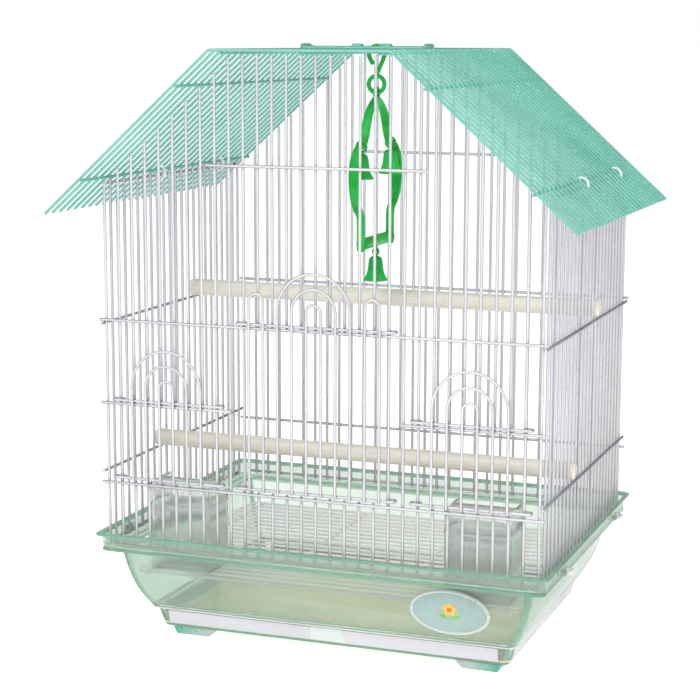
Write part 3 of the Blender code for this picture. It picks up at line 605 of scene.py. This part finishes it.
def roof():
    """Wires bent over the whole roof, on rails that run from front to back."""
    shape = Shape()
    ys = steps_between(ROOF_FRONT, ROOF_BACK)
    over = 0.0018
    for y in ys:
        path = [on_slope(-1, SLOPE, y), on_slope(-1, 0, y), on_slope(1, 0, y),
                on_slope(1, SLOPE, y)]
        shape.tube(rounded(path, 0.004, 5))
    rails = [Vector((x, 0, ROOF_TOP - LAP)) for x in (-ROOF_FLAT + 0.008, 0, ROOF_FLAT - 0.008)]
    rails += [on_slope(side, share * SLOPE, 0, LAP) for side in (-1, 1) for share in SLOPE_RAILS]
    for rail in rails:
        ends = [rail + Vector((0, y, 0)) for y in (ROOF_FRONT - over, ROOF_BACK + over)]
        shape.tube(ends)
        flat = abs(rail.x) < ROOF_FLAT - 0.005
        lean = 0 if flat else math.copysign(math.sin(ROOF_ANGLE), rail.x)
        lift = 1 if flat else math.cos(ROOF_ANGLE)
        for y in ys:
            shape.weld(rail + Vector((lean, 0, lift)) * LAP / 2 + Vector((0, y, 0)))
    shape.piece("roof_wires", "cage", TEAL, "teal_wire",
                "roof_left_slope", "roof_right_slope", "roof_top")


def roof_ties():
    """Rings that hold the roof's lower rails to the side walls' top rails."""
    for side, hand in ((-1, "left"), (1, "right")):
        for y, place in ((-0.03, "front"), (0.07, "back")):
            lower = on_slope(side, SLOPE_RAILS[1] * SLOPE, y, LAP)
            rail = Vector((side * (SIDE_X + LAP), y, SIDE_RAIL))
            radius = (lower - rail).length / 2 + CLEAR
            name = f"{hand}_{place}_roof_clip"
            shape = Shape().ring((lower + rail) / 2, (0, 1, 0), radius, 0.0010, 30, 10)
            shape.piece(name + "_ring", "cage", CLIP, "white_plastic", name)


# Doors

def arch(middle, radius, foot, spring):
    path = [(middle - radius, DOOR_WIRE_Y, foot)]
    steps = 18
    for k in range(steps + 1):
        angle = math.pi * (1 - k / steps)
        path.append((middle + radius * math.cos(angle), DOOR_WIRE_Y,
                     spring + radius * math.sin(angle)))
    path.append((middle + radius, DOOR_WIRE_Y, foot))
    return path


def lift_door(name, middle, guide, top, pins):
    """Hairpin wires on two bars whose hooked ends slide on the guide wires."""
    shape = Shape()
    foot = DOOR_LOW - WIRE_R * 1.5
    arches = [(0, 0.005, 0.010), (0, 0.015, 0.010), (0, 0.025, 0.010)]
    outer = guide + 0.0045
    tip = guide - 0.0020
    back = -(HALF_DEPTH - CLEAR)
    for z in (DOOR_LOW, top):
        path = [(middle - tip, back, z), (middle - outer, back, z),
                (middle - outer, DOOR_BAR_Y, z), (middle + outer, DOOR_BAR_Y, z),
                (middle + outer, back, z), (middle + tip, back, z)]
        shape.tube(rounded(path, 0.0016, 5))
    for offset, radius, leg in arches + pins:
        shape.tube(arch(middle + offset, radius, foot, top + leg))
        for x in (middle + offset - radius, middle + offset + radius):
            for z in (DOOR_LOW, top):
                shape.weld((x, DOOR_BAR_Y - LAP / 2, z))
    shape.piece(name + "_wires", name, WHITE, "white_wire", name)


def doors():
    pins = [(side * 4 * PITCH, PITCH / 2, 0.0155) for side in (-1, 1)]
    lift_door("main_door", 0, MAIN_GUIDE, MAIN_TOP, pins)
    lift_door("left_feeder_door", -FEEDER_X, FEEDER_GUIDE, FEEDER_TOP, [])
    lift_door("right_feeder_door", FEEDER_X, FEEDER_GUIDE, FEEDER_TOP, [])


# Base tray

TRAY_CORNER = 0.005
TRAY_OUTSIDE = (              # outward offset from the wire walls, height
    (-0.0276, 0.0066), (-0.0264, 0.0070), (-0.0259, 0.0080), (-0.0250, 0.0112), (-0.0240, 0.0146),
    (-0.0226, 0.0200), (-0.0222, 0.0206), (-0.0204, 0.0211), (-0.0197, 0.0216), (-0.0187, 0.0232),
    (-0.0160, 0.0278), (-0.0134, 0.0324), (-0.0112, 0.0376), (-0.0096, 0.0424), (-0.0080, 0.0478),
    (-0.0066, 0.0534), (-0.0054, 0.0594), (-0.0046, 0.0640), (-0.0036, 0.0650),
)
TRAY_RIM = (
    (0.0044, 0.0650), (0.0052, 0.0653), (0.0055, 0.0660), (0.0053, 0.0668), (0.0050, 0.0674),
    (0.0051, 0.0710), (0.0053, 0.0742), (0.0058, 0.0750), (0.0070, 0.0755), (0.0082, 0.0759),
    (0.0086, 0.0764), (0.0086, 0.0773), (0.0081, 0.0778), (0.0066, 0.0779), (0.0056, 0.0772),
    (0.0046, 0.0762), (0.0042, 0.0752), (0.0041, 0.0715), (0.0040, 0.0684), (0.0033, 0.0675),
    (-0.0058, 0.0675), (-0.0067, 0.0670),
)
TRAY_INSIDE = (
    (-0.0072, 0.0640), (-0.0078, 0.0594), (-0.0088, 0.0534), (-0.0102, 0.0478), (-0.0118, 0.0424),
    (-0.0136, 0.0374), (-0.0156, 0.0324), (-0.0184, 0.0278), (-0.0216, 0.0235), (-0.0240, 0.0216),
    (-0.0250, 0.0200), (-0.0264, 0.0150), (-0.0274, 0.0112), (-0.0284, 0.0100), (-0.0300, 0.0097),
)


def tray_outline(offset, z):
    return rounded_rectangle((0, 0), HALF_WIDTH + offset, HALF_DEPTH + offset, z, TRAY_CORNER, 7)


def outside_at(z):
    """How far the tray's outside stands off the walls at a height."""
    for (a, low), (b, high) in zip(TRAY_OUTSIDE, TRAY_OUTSIDE[1:]):
        if low <= z <= high:
            return a + (b - a) * (z - low) / (high - low)
    return TRAY_OUTSIDE[-1][0]


def edge_share(place):
    """How strongly a point of the tray shows its thick, coloured edges, from 0 to 1."""
    x, y, z = place
    offset = max(abs(x) - HALF_WIDTH, abs(y) - HALF_DEPTH)
    bead = max(0.0, 1 - abs(z - 0.0659) / 0.0014)
    lip = max(0.0, 1 - abs(z - 0.0770) / 0.0020) if offset > 0.003 else 0.0
    band = 0.14 if offset > 0.0035 and z > 0.0655 else 0.0
    base = 0.8 * max(0.0, 1 - abs(z - 0.0075) / 0.0018) if offset > -0.029 else 0.0
    corner_x = HALF_WIDTH + offset - abs(x)
    corner_y = HALF_DEPTH + offset - abs(y)
    near = max(corner_x, corner_y)
    corner = max(0.0, 1 - near / 0.0036) if z < 0.066 and offset > -0.0275 else 0.0
    return min(1.0, max(bead, lip, band, base, corner))


def tray():
    shape = Shape()
    profile = TRAY_OUTSIDE + TRAY_RIM + TRAY_INSIDE
    shape.loft([tray_outline(offset, z) for offset, z in profile])
    mesh = shape.mesh("tray_shell")
    mark_edges(mesh, edge_share)
    finish_piece(mesh, "tray_shell", "base", TRAY, ["base_tray"], 32)


PLINTH_LOW = 0.0094
PLINTH_HIGH = 0.0192


def plinth_panel(shape, face, wall, foot, head, raised):
    """A flat panel on the plinth of one wall, between its ends at foot and head."""
    corners = ((foot[0], PLINTH_LOW), (foot[1], PLINTH_LOW), (head[1], PLINTH_HIGH),
               (head[0], PLINTH_HIGH))
    loops = [[(along, face * (wall + outside_at(z) + out), z) for along, z in corners]
             for out in (-0.0003, raised)]
    if wall == HALF_WIDTH:
        loops = [[(y, x, z) for x, y, z in loop] for loop in loops]
    shape.loft(loops)


def plinth_panels():
    """Raised flat panels on the plinth, with a slanted gap between the two on the front."""
    panels = Shape()
    ledge = Shape()
    ledge.tube(tray_outline(-0.0207, 0.0211), 0.0008, 8, closed=True)
    for face in (-1, 1):
        for shape, foot, head, raised in (
                (panels, (-0.1180, -0.0148), (-0.1180, -0.0126), 0.0006),
                (panels, (0.0120, 0.1180), (0.0098, 0.1180), 0.0006),
                (ledge, (-0.0150, 0.0124), (-0.0128, 0.0102), 0.0002)):
            plinth_panel(shape, face, HALF_DEPTH, foot, head, raised)
    for face in (-1, 1):
        plinth_panel(panels, face, HALF_WIDTH, (-0.082, 0.082), (-0.083, 0.083), 0.0006)
    panels.piece("plinth_panels", "base", MILKY, "foot_plastic", angle=20)
    ledge.piece("plinth_ledge_line", "base", LEDGE, "tray_plastic")


def feet():
    """Hollow-looking tapered feet, steeper on their outer side."""
    levels = ((0.0, 0.0915, 0.1160, 0.0100), (0.0063, 0.0870, 0.1172, 0.0125))
    middle_y, edge_start, edge_width = 0.074, 0.1105, 0.004
    for side_x, side_y, corner in CORNERS:
        shape = Shape().loft([
            [(side_x * x, side_y * middle_y + y, z)
             for x, y in ((inner, -half), (outer, -half), (outer, half), (inner, half))]
            for z, inner, outer, half in levels])
        bmesh.ops.bevel(shape.bm, geom=shape.bm.edges[:], offset=0.0006, segments=3,
                        affect="EDGES", profile=0.5)
        mesh = shape.mesh(corner + "_foot")
        mark_edges(mesh, lambda co: min(1.0, max(0.0, (abs(co.x) - edge_start) / edge_width)))
        finish_piece(mesh, corner + "_foot_block", "base", FOOT,
                     [corner + "_foot"], 40)


CLIP_PIN = Vector((0.1580, 0.075, 0.0710))
CLIP_HALF = 0.0042


def base_clips():
    """Tabs that turn on pins between lugs beside the rim."""
    lugs = Shape()
    outline = ((-0.0021, 0.0), (-0.0015, 0.0015), (0.0, 0.0021), (0.0015, 0.0015),
               (0.0024, 0.0010), (0.0038, 0.0009), (0.0047, 0.0010), (0.0050, 0.0003),
               (0.0049, -0.0008), (0.0040, -0.0010), (0.0024, -0.0009), (0.0015, -0.0015),
               (0.0, -0.0021), (-0.0015, -0.0015))
    points = smooth_path(outline, 3, closed=True)
    half = CLIP_HALF - 0.0001
    lug_root, lug_near, lug_far = 0.1550, 0.0046, 0.0064
    for side_x, side_y, corner in CORNERS:
        x, y, z = side_x * CLIP_PIN.x, side_y * CLIP_PIN.y, CLIP_PIN.z
        root, end = sorted((side_x * lug_root, x + side_x * 0.0019))
        for way in (-1, 1):
            near, far = sorted((y + way * lug_near, y + way * lug_far))
            lugs.block((root, near, z - 0.0020), (end, far, z + 0.0020), 0.0005)
        lugs.tube([(x, y - 0.0054, z), (x, y + 0.0054, z)], 0.0009, 14)
        tab = [[(x + side_x * px * share, y + out, z + pz * share) for px, pz in points]
               for out, share in ((-half, 0.9), (-half + 0.0003, 1), (half - 0.0003, 1),
                                  (half, 0.9))]
        name = corner + "_base_clip"
        Shape().loft(tab).piece(name + "_tab", name, CLIP, "white_plastic", name)
    lugs.piece("rim_lugs", "base", TRAY, "tray_plastic")


def floor_wires():
    """The floor grille: wires along the tray on four cross wires, low inside its walls."""
    z = 0.0490
    cross_z = z - LAP
    reach, cross_end = 0.102, 0.1038
    ys = steps_between(-reach, reach)
    xs = (-0.129, -0.043, 0.043, 0.129)
    shape = Shape()
    for y in ys:
        end = 0.1385 if abs(y) < reach - WIRE_R else 0.1345
        shape.tube([(-end, y, z), (end, y, z)])
    for x in xs:
        shape.tube([(x, -cross_end, cross_z), (x, cross_end, cross_z)])
        for y in ys:
            shape.weld((x, y, cross_z + LAP / 2))
    shape.piece("floor_grille_wires", "cage", GRILLE, "white_wire", "floor_grille")


# Badge

BADGE = Vector((0.090, -HALF_DEPTH + 0.0088, 0.0455))
BADGE_HALF = Vector((0.026, 0.0155))
BADGE_LEAN = math.atan2(0.0030, 0.0110)
FLOWER_Y = 0.0022


def badge_place():
    out = Vector((0, -math.cos(BADGE_LEAN), -math.sin(BADGE_LEAN)))
    turn = Matrix.Rotation(math.pi / 2 + BADGE_LEAN, 4, "X")
    return Matrix.Translation(BADGE + out * 0.0014) @ turn


def oval(place, scale, lift, steps=64, half=None):
    half = half or BADGE_HALF
    return [place @ Vector((half.x * scale * math.cos(a), half.y * scale * math.sin(a), lift))
            for a in turns(steps)]


def petal(place, centre, length, width, angle, lift, steps=20):
    """A low domed leaf shape on the plate."""
    turn = Matrix.Translation((centre[0], centre[1], 0)) @ Matrix.Rotation(angle, 4, "Z")
    loops = []
    for share, height in ((1.0, 0.0), (0.94, 0.00012), (0.7, 0.00022), (0.3, 0.00026)):
        loop = []
        for a in turns(steps):
            reach = length * share * math.cos(a) / 2
            pinch = width * share * math.sin(a) / 2 * (0.62 + 0.38 * math.cos(2 * a) ** 2)
            loop.append(place @ turn @ Vector((length / 2 + reach, pinch, lift + height)))
        loops.append(loop)
    return loops


def badge():
    place = badge_place()
    frame_shape = Shape()
    loops = []
    for a in turns(12):
        across = 0.0012 * math.cos(a)
        half = Vector((BADGE_HALF.x + across, BADGE_HALF.y + across))
        loops.append(oval(place, 1, 0.0010 * math.sin(a), half=half))
    frame_shape.loft(loops, closed=True)
    frame_shape.piece("badge_rim", "base", FROST, "badge_plastic", "badge_frame")
    plate = Shape()
    rows = ((0.945, -0.0005), (0.950, 0.0002), (0.930, 0.0005), (0.60, 0.00062), (0.2, 0.00068))
    plate.loft([oval(place, scale, lift) for scale, lift in rows])
    plate.piece("badge_face", "base", PLATE, "badge_plastic", "badge_plate")
    top = 0.00058
    flower = Shape()
    for angle in turns(5):
        flower.loft(petal(place, (0.0, FLOWER_Y), 0.0052, 0.0046, angle + 0.3, top))
    flower.piece("badge_petals", "base", YELLOW, "badge_plastic")
    middle = Shape()
    centre = place @ Matrix.Translation((0, FLOWER_Y, 0))
    middle.loft([oval(centre, 1, top + lift, 20, Vector((r, r)))
                 for r, lift in ((0.0017, 0), (0.0016, 0.0004), (0.0007, 0.00055))])
    middle.piece("badge_flower_middle", "base", ORANGE, "badge_plastic")
    leaves = Shape()
    for start, length, width, angle in (((0.0006, -0.0048), 0.0085, 0.0046, 0.45),
                                        ((-0.0006, -0.0048), 0.0080, 0.0044, 2.75),
                                        ((0.0, -0.0072), 0.0062, 0.0010, 1.57)):
        leaves.loft(petal(place, start, length, width, angle, top - 0.0001))
    leaves.piece("badge_leaves", "base", LEAF, "badge_plastic")


# Furniture

PERCH_R = 0.006


def perch(name, y, ring):
    """A dowel with slightly uneven turning and slotted ends."""
    z = ring + WIRE_R + 0.0004 + PERCH_R
    end = HALF_WIDTH + 0.0034
    rounding = [0, 0.0002, 0.0006, 0.0012, 0.0018]
    stations = ([-end + step for step in rounding] + steps_between(-0.15, 0.15, 0.012)
                + [end - step for step in rounding[::-1]])
    loops = []
    for x in stations:
        wave = 0.00010 * math.sin(37 * x + 40 * y) + 0.00006 * math.sin(151 * x)
        depth = max(0.0, 1 - (end - abs(x)) / 0.0018)
        radius = PERCH_R - 0.0001 + wave - 0.0016 * (1 - math.sqrt(1 - depth * depth))
        loops.append(circle(Vector((x, y, z)), Vector((0, 1, 0)), Vector((0, 0, 1)), radius, 40))
    slots = []
    half_slot = WIRE_R + 0.0003
    for side in (-1, 1):
        near, far = sorted((side * (HALF_WIDTH - 0.0007), side * (end + 0.005)))
        box = Shape().block((near, y - half_slot, z - 0.01), (far, y + half_slot, z + 0.01), 0)
        slots.append(box.mesh("slot"))
    mesh = carved(Shape().loft(loops).mesh(name), slots)
    finish_piece(mesh, name + "_dowel", "cage", WOOD, [name], 35)


CUP = Vector((0.046, 0.035, 0.0621))
CUP_FRONT = -0.1010
CUP_FOOT = 0.0504


def cup_loop(x, inset, z, radius):
    return rounded_rectangle((x, CUP_FRONT + CUP.y / 2), CUP.x / 2 - inset, CUP.y / 2 - inset, z,
                             radius, 6)


def feeder_cup(hand, x):
    """A hooded cup with rounded corners, a lip and a low front rib."""
    foot, top = CUP_FOOT, CUP_FOOT + CUP.z
    outside = ((0.0030, foot), (0.0012, foot + 0.0004), (0.0006, foot + 0.0016),
               (0.0005, foot + 0.0250), (0.0004, foot + 0.0445), (0.0001, foot + 0.0450),
               (0.0001, foot + 0.0460), (0.0004, foot + 0.0465), (0.0004, top - 0.0052),
               (0.0001, top - 0.0046), (0.0001, top - 0.0022), (0.0010, top - 0.0008),
               (0.0030, top))
    shell = Shape().loft([cup_loop(x, inset, z, 0.0045) for inset, z in outside])
    inner = ((0.0040, foot + 0.0016), (0.0022, foot + 0.0026), (0.0018, foot + 0.0050),
             (0.0018, top - 0.0030), (0.0034, top - 0.0015))
    hollow = Shape().loft([cup_loop(x, inset, z, 0.0036) for inset, z in inner])
    half = CUP.x / 2 - 0.0018
    mouth = Shape()
    low = Vector((x - half, CUP_FRONT + 0.0150, foot + 0.0465))
    mouth.block(low, (x + half, CUP_FRONT + CUP.y + 0.01, top + 0.01), 0.003, 4)
    mesh = carved(shell.mesh("cup"), [hollow.mesh("hollow"), mouth.mesh("mouth")], 0.0003)
    name = f"{hand}_feeder_cup"
    finish_piece(mesh, name + "_shell", name, SMOKE, [name], 35)


# Carry handle

HANDLE = Vector((0, -0.010, 0.4034))
HANDLE_R = 0.0015


def carry_handle():
    """A bail whose bars lie between roof wires, and its two saddles."""
    half, reach, ramp = 0.044, 0.020, 0.0045
    near, far = HANDLE.y, HANDLE.y - reach
    middle = (near + far) / 2
    bends = rounded([(-half, near, 0), (half, near, 0), (half, far, 0), (-half, far, 0)],
                    0.004, 8, closed=True)
    count = len(bends) // 2
    stations = [1, 0.66, 0.33, 0, -0.33, -0.66, -1]
    right = [Vector((half, middle + step * ramp, 0)) for step in stations]
    left = [Vector((-half, middle - step * ramp, 0)) for step in stations]
    path = bends[:count] + right + bends[count:] + left
    for point in path:
        share = min(1.0, (reach / 2 - abs(point.y - middle)) / ramp)
        point.z = HANDLE.z + 0.0017 * share * share * (3 - 2 * share)
    shape = Shape().tube(path, HANDLE_R, 14, closed=True)
    shape.piece("carry_handle_bail", "carry_handle", TEAL, "teal_wire", "carry_handle")
    for name, x in (("left_handle_clip", -0.0103), ("right_handle_clip", 0.0103)):
        low, shoulder, top = ROOF_TOP - 0.0018, ROOF_TOP + 0.0022, HANDLE.z + 0.0031
        arc = [(0.0036 * math.cos(a), shoulder - 0.0004 + (top - shoulder + 0.0004) * math.sin(a))
               for a in (math.pi * k / 14 for k in range(15))]
        outline = [(-0.0072, low), (0.0072, low), (0.0072, shoulder - 0.0008),
                   (0.0066, shoulder - 0.0002), *arc, (-0.0066, shoulder - 0.0002),
                   (-0.0072, shoulder - 0.0008)]
        loops = []
        for out, share in ((-0.0035, 0.97), (-0.0031, 1), (0.0031, 1), (0.0035, 0.97)):
            loops.append([(x + out, HANDLE.y + py * share, low + (pz - low) * share)
                          for py, pz in outline])
        cutters = []
        for dy, channel, top_z in ((0, 0.0018, HANDLE.z), (-PITCH / 2, 0.0013, ROOF_TOP),
                                   (PITCH / 2, 0.0013, ROOF_TOP)):
            profile = [(-channel, low - 0.01), (channel, low - 0.01)]
            profile += [(channel * math.cos(a), top_z + channel * math.sin(a))
                        for a in (math.pi * k / 10 for k in range(11))]
            cutters.append(Shape().loft([
                [(x + out, HANDLE.y + dy + py, pz) for py, pz in profile]
                for out in (-0.01, 0.01)]).mesh("channel"))
        mesh = carved(Shape().loft(loops).mesh(name), cutters)
        finish_piece(mesh, name + "_saddle", "cage", TEAL_PLASTIC, [name], 35)


# Toy

LINK_R = 0.0015
RAIL_Z = ROOF_TOP - LAP
RING_Z = 0.3789
RING_R = 0.0057
SHOULDER = Vector((0, 0.030, 0.3378))
BAR_Z = 0.2715
BAR_R = 0.0042
STRAP = (
    (0.0070, 0.3668, 0.0020, 0.0019), (0.0130, 0.3620, 0.0028, 0.0015),
    (0.0190, 0.3540, 0.0032, 0.0014), (0.0226, 0.3450, 0.0029, 0.0014),
    (0.0245, 0.3392, 0.0019, 0.0018), (0.0275, 0.3378, 0.0018, 0.0018),
    (0.0330, 0.3378, 0.0018, 0.0018), (0.0372, 0.3362, 0.0026, 0.0017),
    (0.0412, 0.3300, 0.0038, 0.0014), (0.0432, 0.3215, 0.0042, 0.0014),
    (0.0430, 0.3110, 0.0041, 0.0014), (0.0408, 0.3020, 0.0036, 0.0016),
    (0.0370, 0.2960, 0.0029, 0.0020), (0.0325, 0.2925, 0.0027, 0.0024),
    (0.0302, 0.2880, 0.0028, 0.0024), (0.0300, 0.2780, 0.0028, 0.0024),
    (0.0300, 0.2690, 0.0028, 0.0024), (0.0300, 0.2674, 0.0026, 0.0022),
    (0.0300, 0.2667, 0.0018, 0.0015),
)


def toy_hook():
    top = RAIL_Z + WIRE_R + 0.0004 + LINK_R * 1.5
    rows = [                  # distance along X, height, share of the radius
        (-0.0024, 0.3924, 1), (-0.0048, 0.3961, 1), (-0.0056, 0.3995, 1.1),
        (-0.0040, top - 0.0015, 1.3), (0, top, 1.5), (0.0040, top - 0.0015, 1.3),
        (0.0056, 0.3995, 1.1), (0.0044, 0.3950, 1), (0.0016, 0.3890, 1), (0, RING_Z + RING_R, 1),
    ]
    rows = smooth_path(rows, 5)
    shape = Shape().tube([(x, 0, z) for x, z, _ in rows], LINK_R, 14,
                         swell=[share for *_, share in rows])
    shape.ring((0, 0, RING_Z), (0, 1, 0), RING_R, LINK_R, 40, 14)
    shape.piece("toy_hook_and_ring", "toy_hook", TOY, "toy_plastic", "toy_hook")


def strap(shape, rows, sides=18):
    """A band bent in the YZ plane whose rounded section changes along it."""
    loops = []
    for k, (y, z, half_width, half_depth) in enumerate(rows):
        before, after = rows[max(k - 1, 0)], rows[min(k + 1, len(rows) - 1)]
        along = Vector((0, after[0] - before[0], after[1] - before[1])).normalized()
        depth = along.cross(Vector((1, 0, 0)))
        loop = []
        for angle in turns(sides):
            c, s = math.cos(angle), math.sin(angle)
            across = half_width * math.copysign(abs(c) ** 0.6, c)
            through = half_depth * math.copysign(abs(s) ** 0.6, s)
            loop.append(Vector((across, y, z)) + depth * through)
        loops.append(loop)
    shape.loft(loops)


def toy_frame():
    hinge = RING_Z - RING_R
    eye_r, eye_tube = 0.0036, 0.0014
    eye_z = hinge + LINK_R + 0.0004 + eye_tube - eye_r
    apex = eye_z - eye_r - 0.0004
    rows = [(-y, *rest) for y, *rest in STRAP[::-1]] + [(0, apex, 0.0020, 0.0020)] + list(STRAP)
    shape = Shape()
    strap(shape, smooth_path(rows, 5))
    shape.ring((0, 0, eye_z), (1, 0, 0), eye_r, eye_tube, 32, 12)
    shape.piece("toy_lyre", "toy_frame", TOY, "toy_plastic", "toy_frame")
    end = 0.0288
    bar = Shape()
    across, up = Vector((1, 0, 0)), Vector((0, 0, 1))
    sections = [(-end, 0.0038), (-end + 0.0006, BAR_R), (-0.0262, BAR_R), (-0.0259, 0.0040),
                (0.0259, 0.0040), (0.0262, BAR_R), (end - 0.0006, BAR_R), (end, 0.0038)]
    bar.loft([circle(Vector((0, y, BAR_Z)), across, up, r, 32) for y, r in sections])
    bar.piece("toy_perch_bar", "toy_frame", TOY, "toy_plastic", "toy_perch", angle=35)
    collars = Shape()
    ring_z = BAR_Z - BAR_R - 0.0012
    collars.ring((0, 0, ring_z), (1, 0, 0), 0.0022, 0.0008, 24, 10)
    collars.piece("toy_bar_rings", "toy_frame", TOY, "toy_plastic")
    return ring_z - 0.0022


BELL_R = 0.0083
BELL_HEIGHT = 0.0170
BELL_CURVE = ((0.0, 0.24), (0.02, 0.36), (0.07, 0.49), (0.16, 0.57), (0.30, 0.61), (0.48, 0.65),
              (0.64, 0.71), (0.78, 0.80), (0.88, 0.92), (0.93, 0.98), (0.955, 1.0), (0.985, 1.0),
              (1.0, 0.98))


def bell(name, y, hinge_z, loop_r, loop_tube=0.0008):
    crown = hinge_z - loop_r - loop_tube - 0.0004
    wall = 0.0011
    outside = [(share * BELL_R, -drop * BELL_HEIGHT) for drop, share in BELL_CURVE]
    inside = [(max(r - wall, 0.0002), z - wall) for r, z in outside[:-4]]
    inside.append((BELL_R - wall, -BELL_HEIGHT))
    profile = [(0.0003, 0.0)] + outside + inside[::-1] + [(0.0, -wall)]
    shape = Shape().turned(profile, (0, y, crown), 44)
    neck = [(0.0008, 0.0010), (0.0013, 0.0006), (0.0016, 0.0001), (0.0016, -0.0004)]
    shape.turned(neck, (0, y, crown), 20)
    shape.ring((0, y, hinge_z), (0, 1, 0), loop_r, loop_tube, 28, 10)
    shape.piece(name + "_shell", name, TOY, "toy_plastic", name)
    ball_z = crown - BELL_HEIGHT + 0.0035
    ball = [(0.0022 * math.sin(math.pi * k / 12), ball_z - 0.0022 * math.cos(math.pi * k / 12))
            for k in range(13)]
    clapper = Shape().turned(ball, (0, y, 0), 20)
    clapper.tube([(0, y, ball_z), (0, y, crown - wall - 0.0003)], 0.0006, 10)
    node = name + "_clapper"
    clapper.piece(node + "_ball", name, TOY, "toy_plastic", node)


def toy():
    toy_hook()
    bar_hinge = toy_frame()
    bell("front_bell", -SHOULDER.y, SHOULDER.z, 0.0036)
    bell("rear_bell", SHOULDER.y, SHOULDER.z, 0.0036)
    bell("centre_bell", 0, bar_hinge, 0.0021)


# Stage

def look(location, yaw, pitch, roll):
    """A camera's matrix from its heading, in radians."""
    forward = Vector((math.sin(yaw) * math.cos(pitch), math.cos(yaw) * math.cos(pitch),
                      -math.sin(pitch)))
    right = Vector((math.cos(yaw), -math.sin(yaw), 0))
    up = right.cross(forward)
    turned_right = right * math.cos(roll) + up * math.sin(roll)
    turned_up = up * math.cos(roll) - right * math.sin(roll)
    turn = Matrix((turned_right, turned_up, -forward)).transposed().to_4x4()
    return Matrix.Translation(location) @ turn


def camera():
    data = bpy.data.cameras.new("camera")
    data.lens = 95.57
    data.sensor_width = 36
    data.clip_start = 0.05
    made = bpy.data.objects.new("camera", data)
    made.matrix_world = look(Vector((0.4284, -1.2023, 0.4089)), -0.3534, 0.1654, 0.0033)
    bpy.context.scene.collection.objects.link(made)
    bpy.context.scene.camera = made


def area_light(name, location, size, energy, colour=(1, 1, 1)):
    data = bpy.data.lights.new(name, "AREA")
    data.shape = "RECTANGLE"
    data.size, data.size_y = size
    data.energy = energy
    data.color = colour
    made = bpy.data.objects.new(name, data)
    made.location = location
    aim = Vector((0, 0, 0.18)) - made.location
    made.rotation_euler = aim.to_track_quat("-Z", "Y").to_euler()
    bpy.context.scene.collection.objects.link(made)


WORLD_LIGHT = 0.42


def studio_world():
    """Pure white to the camera, and a dimmer white as light."""
    world = bpy.data.worlds.new("studio")
    bpy.context.scene.world = world
    world.use_nodes = True
    seen = world.node_tree.nodes["Background"]
    seen.inputs["Color"].default_value = (1, 1, 1, 1)
    lit = new_node(world, "Background", Color=(0.97, 0.98, 1.0, 1), Strength=WORLD_LIGHT)
    path = new_node(world, "LightPath")
    either = new_node(world, "Math")
    either.operation = "MAXIMUM"
    mix = new_node(world, "MixShader", Fac=either.outputs["Value"])
    links = world.node_tree.links
    links.new(path.outputs["Is Camera Ray"], either.inputs[0])
    links.new(path.outputs["Is Transmission Ray"], either.inputs[1])
    links.new(lit.outputs["Background"], mix.inputs[1])
    links.new(seen.outputs["Background"], mix.inputs[2])
    links.new(mix.outputs["Shader"], world.node_tree.nodes["World Output"].inputs["Surface"])


def stage():
    mesh = bpy.data.meshes.new("floor")
    bm = bmesh.new()
    bmesh.ops.create_circle(bm, cap_ends=True, segments=96, radius=60.0)
    bm.to_mesh(mesh)
    bm.free()
    made = bpy.data.objects.new("floor", mesh)
    made.location.z = -0.0002
    surface = new_material("pale_floor", Roughness=0.9, Specular_IOR_Level=0.1,
                           Emission_Color=(1, 1, 1, 1), Emission_Strength=0.72)
    plug(surface, "Base Color", ramp_of(surface, noise_of(surface, 3), (0.3, (0.80, 0.80, 0.80)),
                                        (0.7, (0.84, 0.84, 0.84))))
    mesh.materials.append(surface)
    bpy.context.scene.collection.objects.link(made)
    studio_world()
    area_light("key", (-0.5, -1.5, 1.9), (1.3, 1.3), 25)
    area_light("fill", (1.4, -0.6, 1.0), (1.0, 1.0), 7)


front_wall()
back_wall()
side_wall("left", -1)
side_wall("right", 1)
roof()
roof_ties()
doors()
tray()
plinth_panels()
feet()
base_clips()
floor_wires()
badge()
perch("upper_perch", 0.025, SIDE_RING_HIGH)
perch("lower_perch", -0.035, SIDE_RING_LOW)
feeder_cup("left", -FEEDER_X)
feeder_cup("right", FEEDER_X)
carry_handle()
toy()
camera()
stage()
bpy.context.scene.view_settings.view_transform = "Standard"
